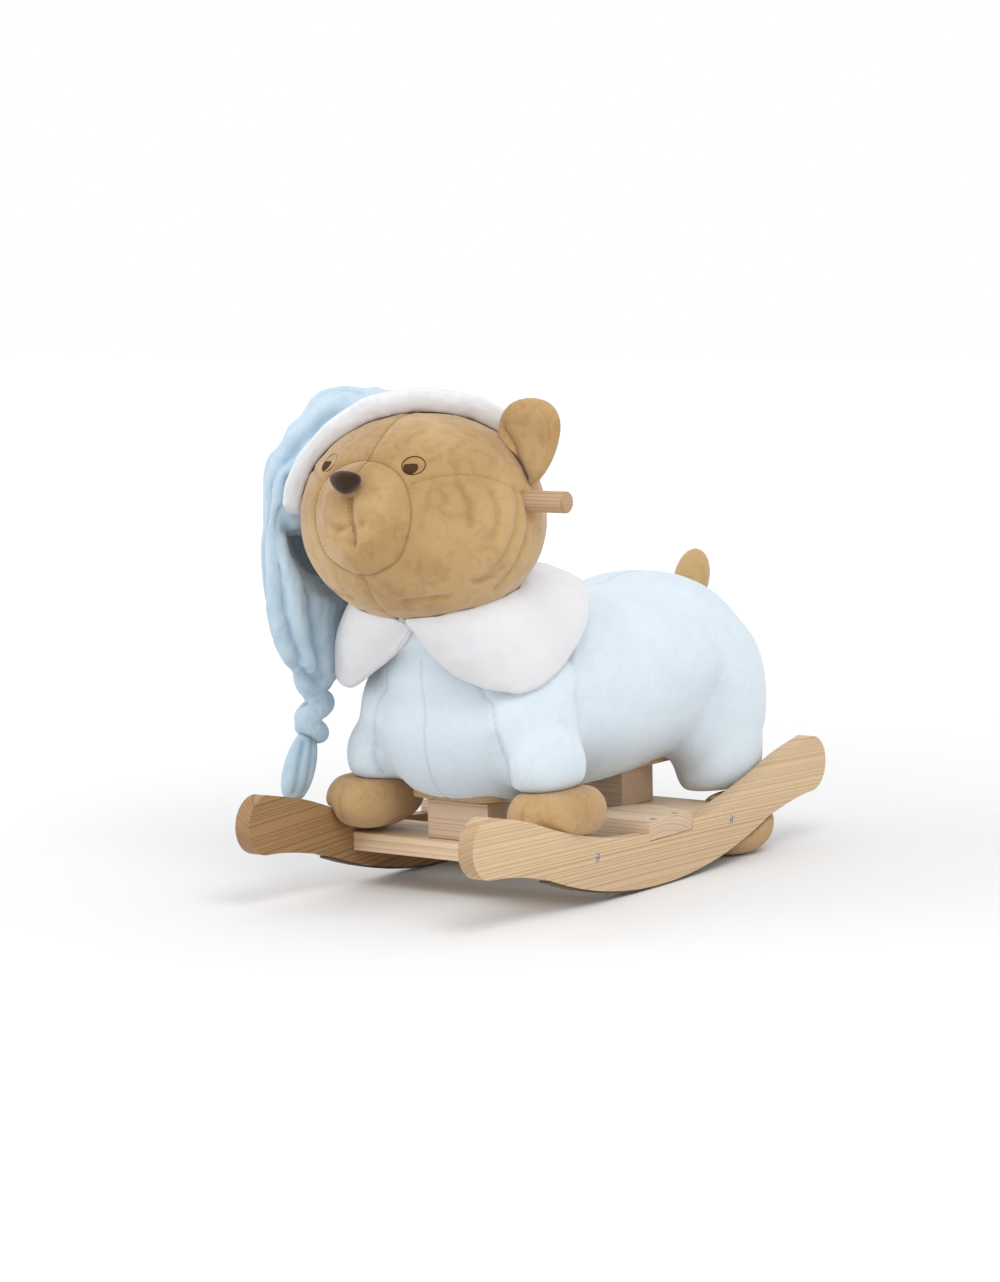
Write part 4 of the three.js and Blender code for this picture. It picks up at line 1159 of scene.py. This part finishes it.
# %% Collar lines
HEAD_MIDDLE, HEAD_RADII = (0, -208, 401), (129, 115, 107)
NECKLINE = []
for step in range(15):
    angle = math.pi * (0.05 + 0.94 * step / 14)
    height = 302 + 46 * (step / 14) ** 1.3
    share = 0.97 * math.sqrt(1 - ((height - HEAD_MIDDLE[2]) / HEAD_RADII[2]) ** 2)
    NECKLINE.append((HEAD_RADII[0] * share * math.sin(angle),
                     HEAD_MIDDLE[1] - HEAD_RADII[1] * share * math.cos(angle), height))
REAR_RIM = [(82, -38, 309), (62, -24, 320), (1, -18, 324)]
FRONT_RIM = {
    1: [(13, -236, 294), (20, -233, 279), (31, -226, 261), (55, -217, 241), (77, -203, 231),
        (88, -193, 228), (100, -183, 226),
        (110, -162, 232), (109, -131, 243), (104, -99, 258), (99, -72, 275), (93, -52, 296)],
    -1: [(-7, -236, 294), (5, -233, 281), (33, -224, 260), (65, -216, 241), (92, -206, 226),
         (109, -200, 222), (121, -195, 228),
         (129, -183, 238), (126, -158, 246), (117, -124, 256), (104, -80, 275), (94, -53, 296)],
}
COLLAR_ROWS, COLLAR_STEPS = 18, 7


def collar_grid(way, tree, lift_mm):
    """Rows of points from the neckline to the rim, none nearer to the suit than the lift."""
    inner = smooth_run([mm(way * x, y, z) for x, y, z in NECKLINE], COLLAR_STEPS)
    outer = smooth_run([mm(way * x, y, z) for x, y, z in FRONT_RIM[way] + REAR_RIM], COLLAR_STEPS)
    middle = mm(0, -140, 240)
    rows = []
    for row in range(COLLAR_ROWS + 1):
        share = row / COLLAR_ROWS
        line = []
        for a, b in zip(inner, outer):
            point = a.lerp(b, share)
            point += (point - middle).normalized() * 0.009 * math.sin(math.pi * share) ** 0.8
            spot, normal, _, _ = tree.find_nearest(point)
            short = lift_mm / 1000 - (point - spot).dot(normal)
            line.append(point + normal * max(0.0, short))
        rows.append(line)
    return rows


print("points on a collar line:", len(collar_grid(1, tree_of(suit), 2)[0]))

# %% Collar halves
suit_tree = tree_of(suit)
for side, way in (("left", 1), ("right", -1)):
    rows = collar_grid(way, suit_tree, 2.5)
    columns = len(rows[0]) - 1
    bm = bmesh.new()
    bmesh.ops.create_grid(bm, x_segments=columns, y_segments=COLLAR_ROWS, size=1)
    for v in bm.verts:
        v.co = rows[round((v.co.y + 1) / 2 * COLLAR_ROWS)][round((v.co.x + 1) / 2 * columns)]
    inside = [v for v in bm.verts if not v.is_boundary]
    for _ in range(3):
        bmesh.ops.smooth_vert(bm, verts=inside, factor=0.5, use_axis_x=True, use_axis_y=True, use_axis_z=True)
    collar = loose(f"{side}_collar_sewn", bm)
    if sum(Vector(n.vector).dot(v.co - mm(0, -140, 240)) for n,
           v in zip(collar.data.vertex_normals, collar.data.vertices)) < 0:
        collar.data.flip_normals()
    thick = collar.modifiers.new("padding", "SOLIDIFY")
    thick.thickness = 0.006
    thick.offset = 0.6
    baked(collar)
    divided(collar)
    kept_off(collar, head_tree, 1.0)
    rim = rows[-1]
    tube(f"{side}_collar_piping", rows[8][:1] + rows[13][:1] + rim, 2.9, WHITE)
    pressed(collar, rows[-2], 0.8, 1.6)
    crumpled(collar, 55, 1.1, seed=way)
    finished(collar, WHITE, [f"{side}_collar"], corner=0)

# %% [markdown]
# ## Nightcap
# The cap has three cuts of cloth: a thick white cuff, a blue crown that falls to one side,
# and its long end, which is tied in a knot. The crown and the hanging end are one cloth, so
# they are one mesh, which is not attached to any body.

# %% White cuff
# The cuff stands proud over the forehead and lies flat where it goes down behind the near ear.
FLAT_FROM_X, FLAT_BELOW_Z, FLAT_OVER, FLATTEST = 40, 425, 60, 0.25
PROUD_LOW, PROUD_MORE, PROUD_FROM_X, PROUD_OVER = 0.82, 0.2, -100, 60
CUFF_SINK, CUFF_REST = 0.0025, 0.0004
brim = softened_copy("cap_brim", "cap_cuff", 3.0, 16)
plumped(brim, 2)
co = points_of(brim)
for i, point in enumerate(co):
    spot, normal, _, _ = head_tree.find_nearest(Vector(point))
    sideways, high_ = (point[0] - MIDDLE) * 1000, point[2] * 1000
    swell = PROUD_LOW + PROUD_MORE * min(1, max(0, (sideways - PROUD_FROM_X) / PROUD_OVER))
    if sideways > FLAT_FROM_X:
        swell *= min(1, max(FLATTEST, (high_ - FLAT_BELOW_Z) / FLAT_OVER))
    lifted = (Vector(point) - spot) * swell
    co[i] = spot + lifted * max(0.0, 1 - CUFF_SINK / max(lifted.length, 1e-6)) + normal * CUFF_REST
set_points(brim, co)
divided(brim)
kept_off(brim, head_tree, 1.0)
finished(brim, WHITE, ["cap_brim"], corner=0)

# %% Blue cloth of the cap
# Loose cloth fills out the crown on the side where it falls; elsewhere the crown is pressed
# down until the cuff hides its top. The folds run from the crown to the knot.
CROWN_TOP, PRESSED_FROM_X, PRESSED_OVER, MOST_PRESSED = 0.511, -95, 50, 0.85
CUFF_ENDS_X, CUFF_ENDS_Y = 0.03, -0.19
bm = merged_copy("cap_crown")
bm.from_mesh(nodes["cap_tail"].data)
bmesh.ops.remove_doubles(bm, verts=bm.verts, dist=2e-5)
ball(bm, (-124, -178, 452), (36, 62, 62), 2.2, 2.2)
ball(bm, (-118, -186, 484), (44, 46, 48), 2.2, 2.2)
ball(bm, (-138, -190, 456), (38, 56, 56), 2.2, 2.2)
ball(bm, (-150, -196, 430), (30, 68, 54), 2.2, 2.2)
ball(bm, (-156, -200, 238), (20, 30, 34), 2.0, 2.0)
for v in bm.verts:
    sideways = (v.co.x - MIDDLE) * 1000
    if v.co.z > CROWN_TOP and sideways > PRESSED_FROM_X:
        v.co.z -= (v.co.z - CROWN_TOP) * min(MOST_PRESSED, (sideways - PRESSED_FROM_X) / PRESSED_OVER)
cloth = skinned("cap_cloth", bm, 4.0, 10)
divided(cloth)
cloth_tree = tree_of(cloth)
FALLS = [
    [(-60, -214, 530), (-118, -236, 492), (-160, -262, 430), (-172, -262, 340), (-164, -230, 260),
     (-157, -206, 226)],
    [(-90, -180, 532), (-150, -210, 480), (-182, -232, 410), (-186, -232, 330), (-176, -220, 262),
     (-160, -204, 226)],
    [(-100, -140, 520), (-160, -165, 470), (-186, -190, 400), (-186, -192, 320), (-172, -198, 258),
     (-160, -200, 226)],
    [(-130, -262, 440), (-140, -272, 380), (-142, -266, 320), (-148, -236, 262), (-152, -208, 228)],
    [(-120, -240, 330), (-128, -236, 300), (-140, -222, 262), (-150, -204, 230)],
    [(-150, -130, 440), (-170, -134, 380), (-170, -140, 320), (-164, -170, 262), (-158, -192, 228)],
]
# The falls carry fold marks, so the finish paints shade into them; the ridges between them are only raised.
for i, fall in enumerate(FALLS):
    pressed(cloth, run_on(cloth_tree, fall), 8 if i % 2 else 6, 7, "fold_shade", 0.7, 0.8)
for fall, beside in zip(FALLS, FALLS[1:]):
    ridge = [tuple((p + q) / 2 for p, q in zip(a, b)) for a, b in zip(fall, beside)]
    pressed(cloth, run_on(cloth_tree, ridge), -4, 7, "ridge", 0.6, 0.5)
crumpled(cloth, 38, 1.6, (1.6, 1.6, 0.5), 3)
kept_off(cloth, head_tree, 1.5)
before = points_of(cloth)
kept_off(cloth, tree_of(brim), 0.8, reach_mm=10)
co = points_of(cloth)
behind = (before[:, 0] > MIDDLE + CUFF_ENDS_X) | (before[:, 1] > CUFF_ENDS_Y)
co[behind] = before[behind]
set_points(cloth, co)
finished(cloth, CAP, ["cap_crown", "cap_tail"], body=None, corner=0)
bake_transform(cloth)

# %% Knot and tip
bm = bmesh.new()
for i in range(16):
    a = 2 * math.pi * i / 16
    ball(bm, (-156 + 10 * math.cos(a), -198 + 13 * math.sin(a), 192 + 8 * math.sin(a + 0.6)), (9, 11, 12),
         2, 2, fine=3)
    ball(bm, (-158 + 8 * math.cos(a), -201 + 10 * math.sin(a), 172 - 6 * math.sin(a)), (8, 10, 10), 2, 2,
         fine=3)
ball(bm, (-156, -199, 212), (12, 15, 12), 2, 2, fine=4)
knot = skinned("cap_knot_tied", bm, 2.0, 5)
crumpled(knot, 16, 1.2, (1, 1, 0.6), 8)
finished(knot, CAP, ["cap_knot"], "cap_end", corner=0)
TIP_X, TIP_Y, TIP_Z, TIP_TALL = -165, -214, 134, 40
bm = bmesh.new()
for v in ball(bm, (TIP_X, TIP_Y, TIP_Z), (15, 20, TIP_TALL), 2.0, 2.3, lean=18):
    droop = (TIP_Z / 1000 - v.co.z) / (TIP_TALL / 1000)
    axis = mm(TIP_X, 0, 0).x
    v.co.x = axis + (v.co.x - axis) * (0.92 + 0.2 * droop) - 0.004 * droop
tip = skinned("cap_tip_sewn", bm, 2.2, 4)
tip_tree = tree_of(tip)
# These creases carry fold marks, so the finish paints shade into them.
for x, y in ((-158, -226), (-152, -212), (-176, -222), (-178, -206), (-166, -200)):
    pressed(tip, run_on(tip_tree, [(x + 3, y + 8, 160), (x, y, 136), (x - 2, y - 5, 108)]), 3.0, 3.5,
            "fold_shade", 0.7, 0.8)
kept_off(tip, tree_of(knot), 0.3)
divided(tip)
finished(tip, CAP, ["cap_tip"], "cap_end", corner=0)
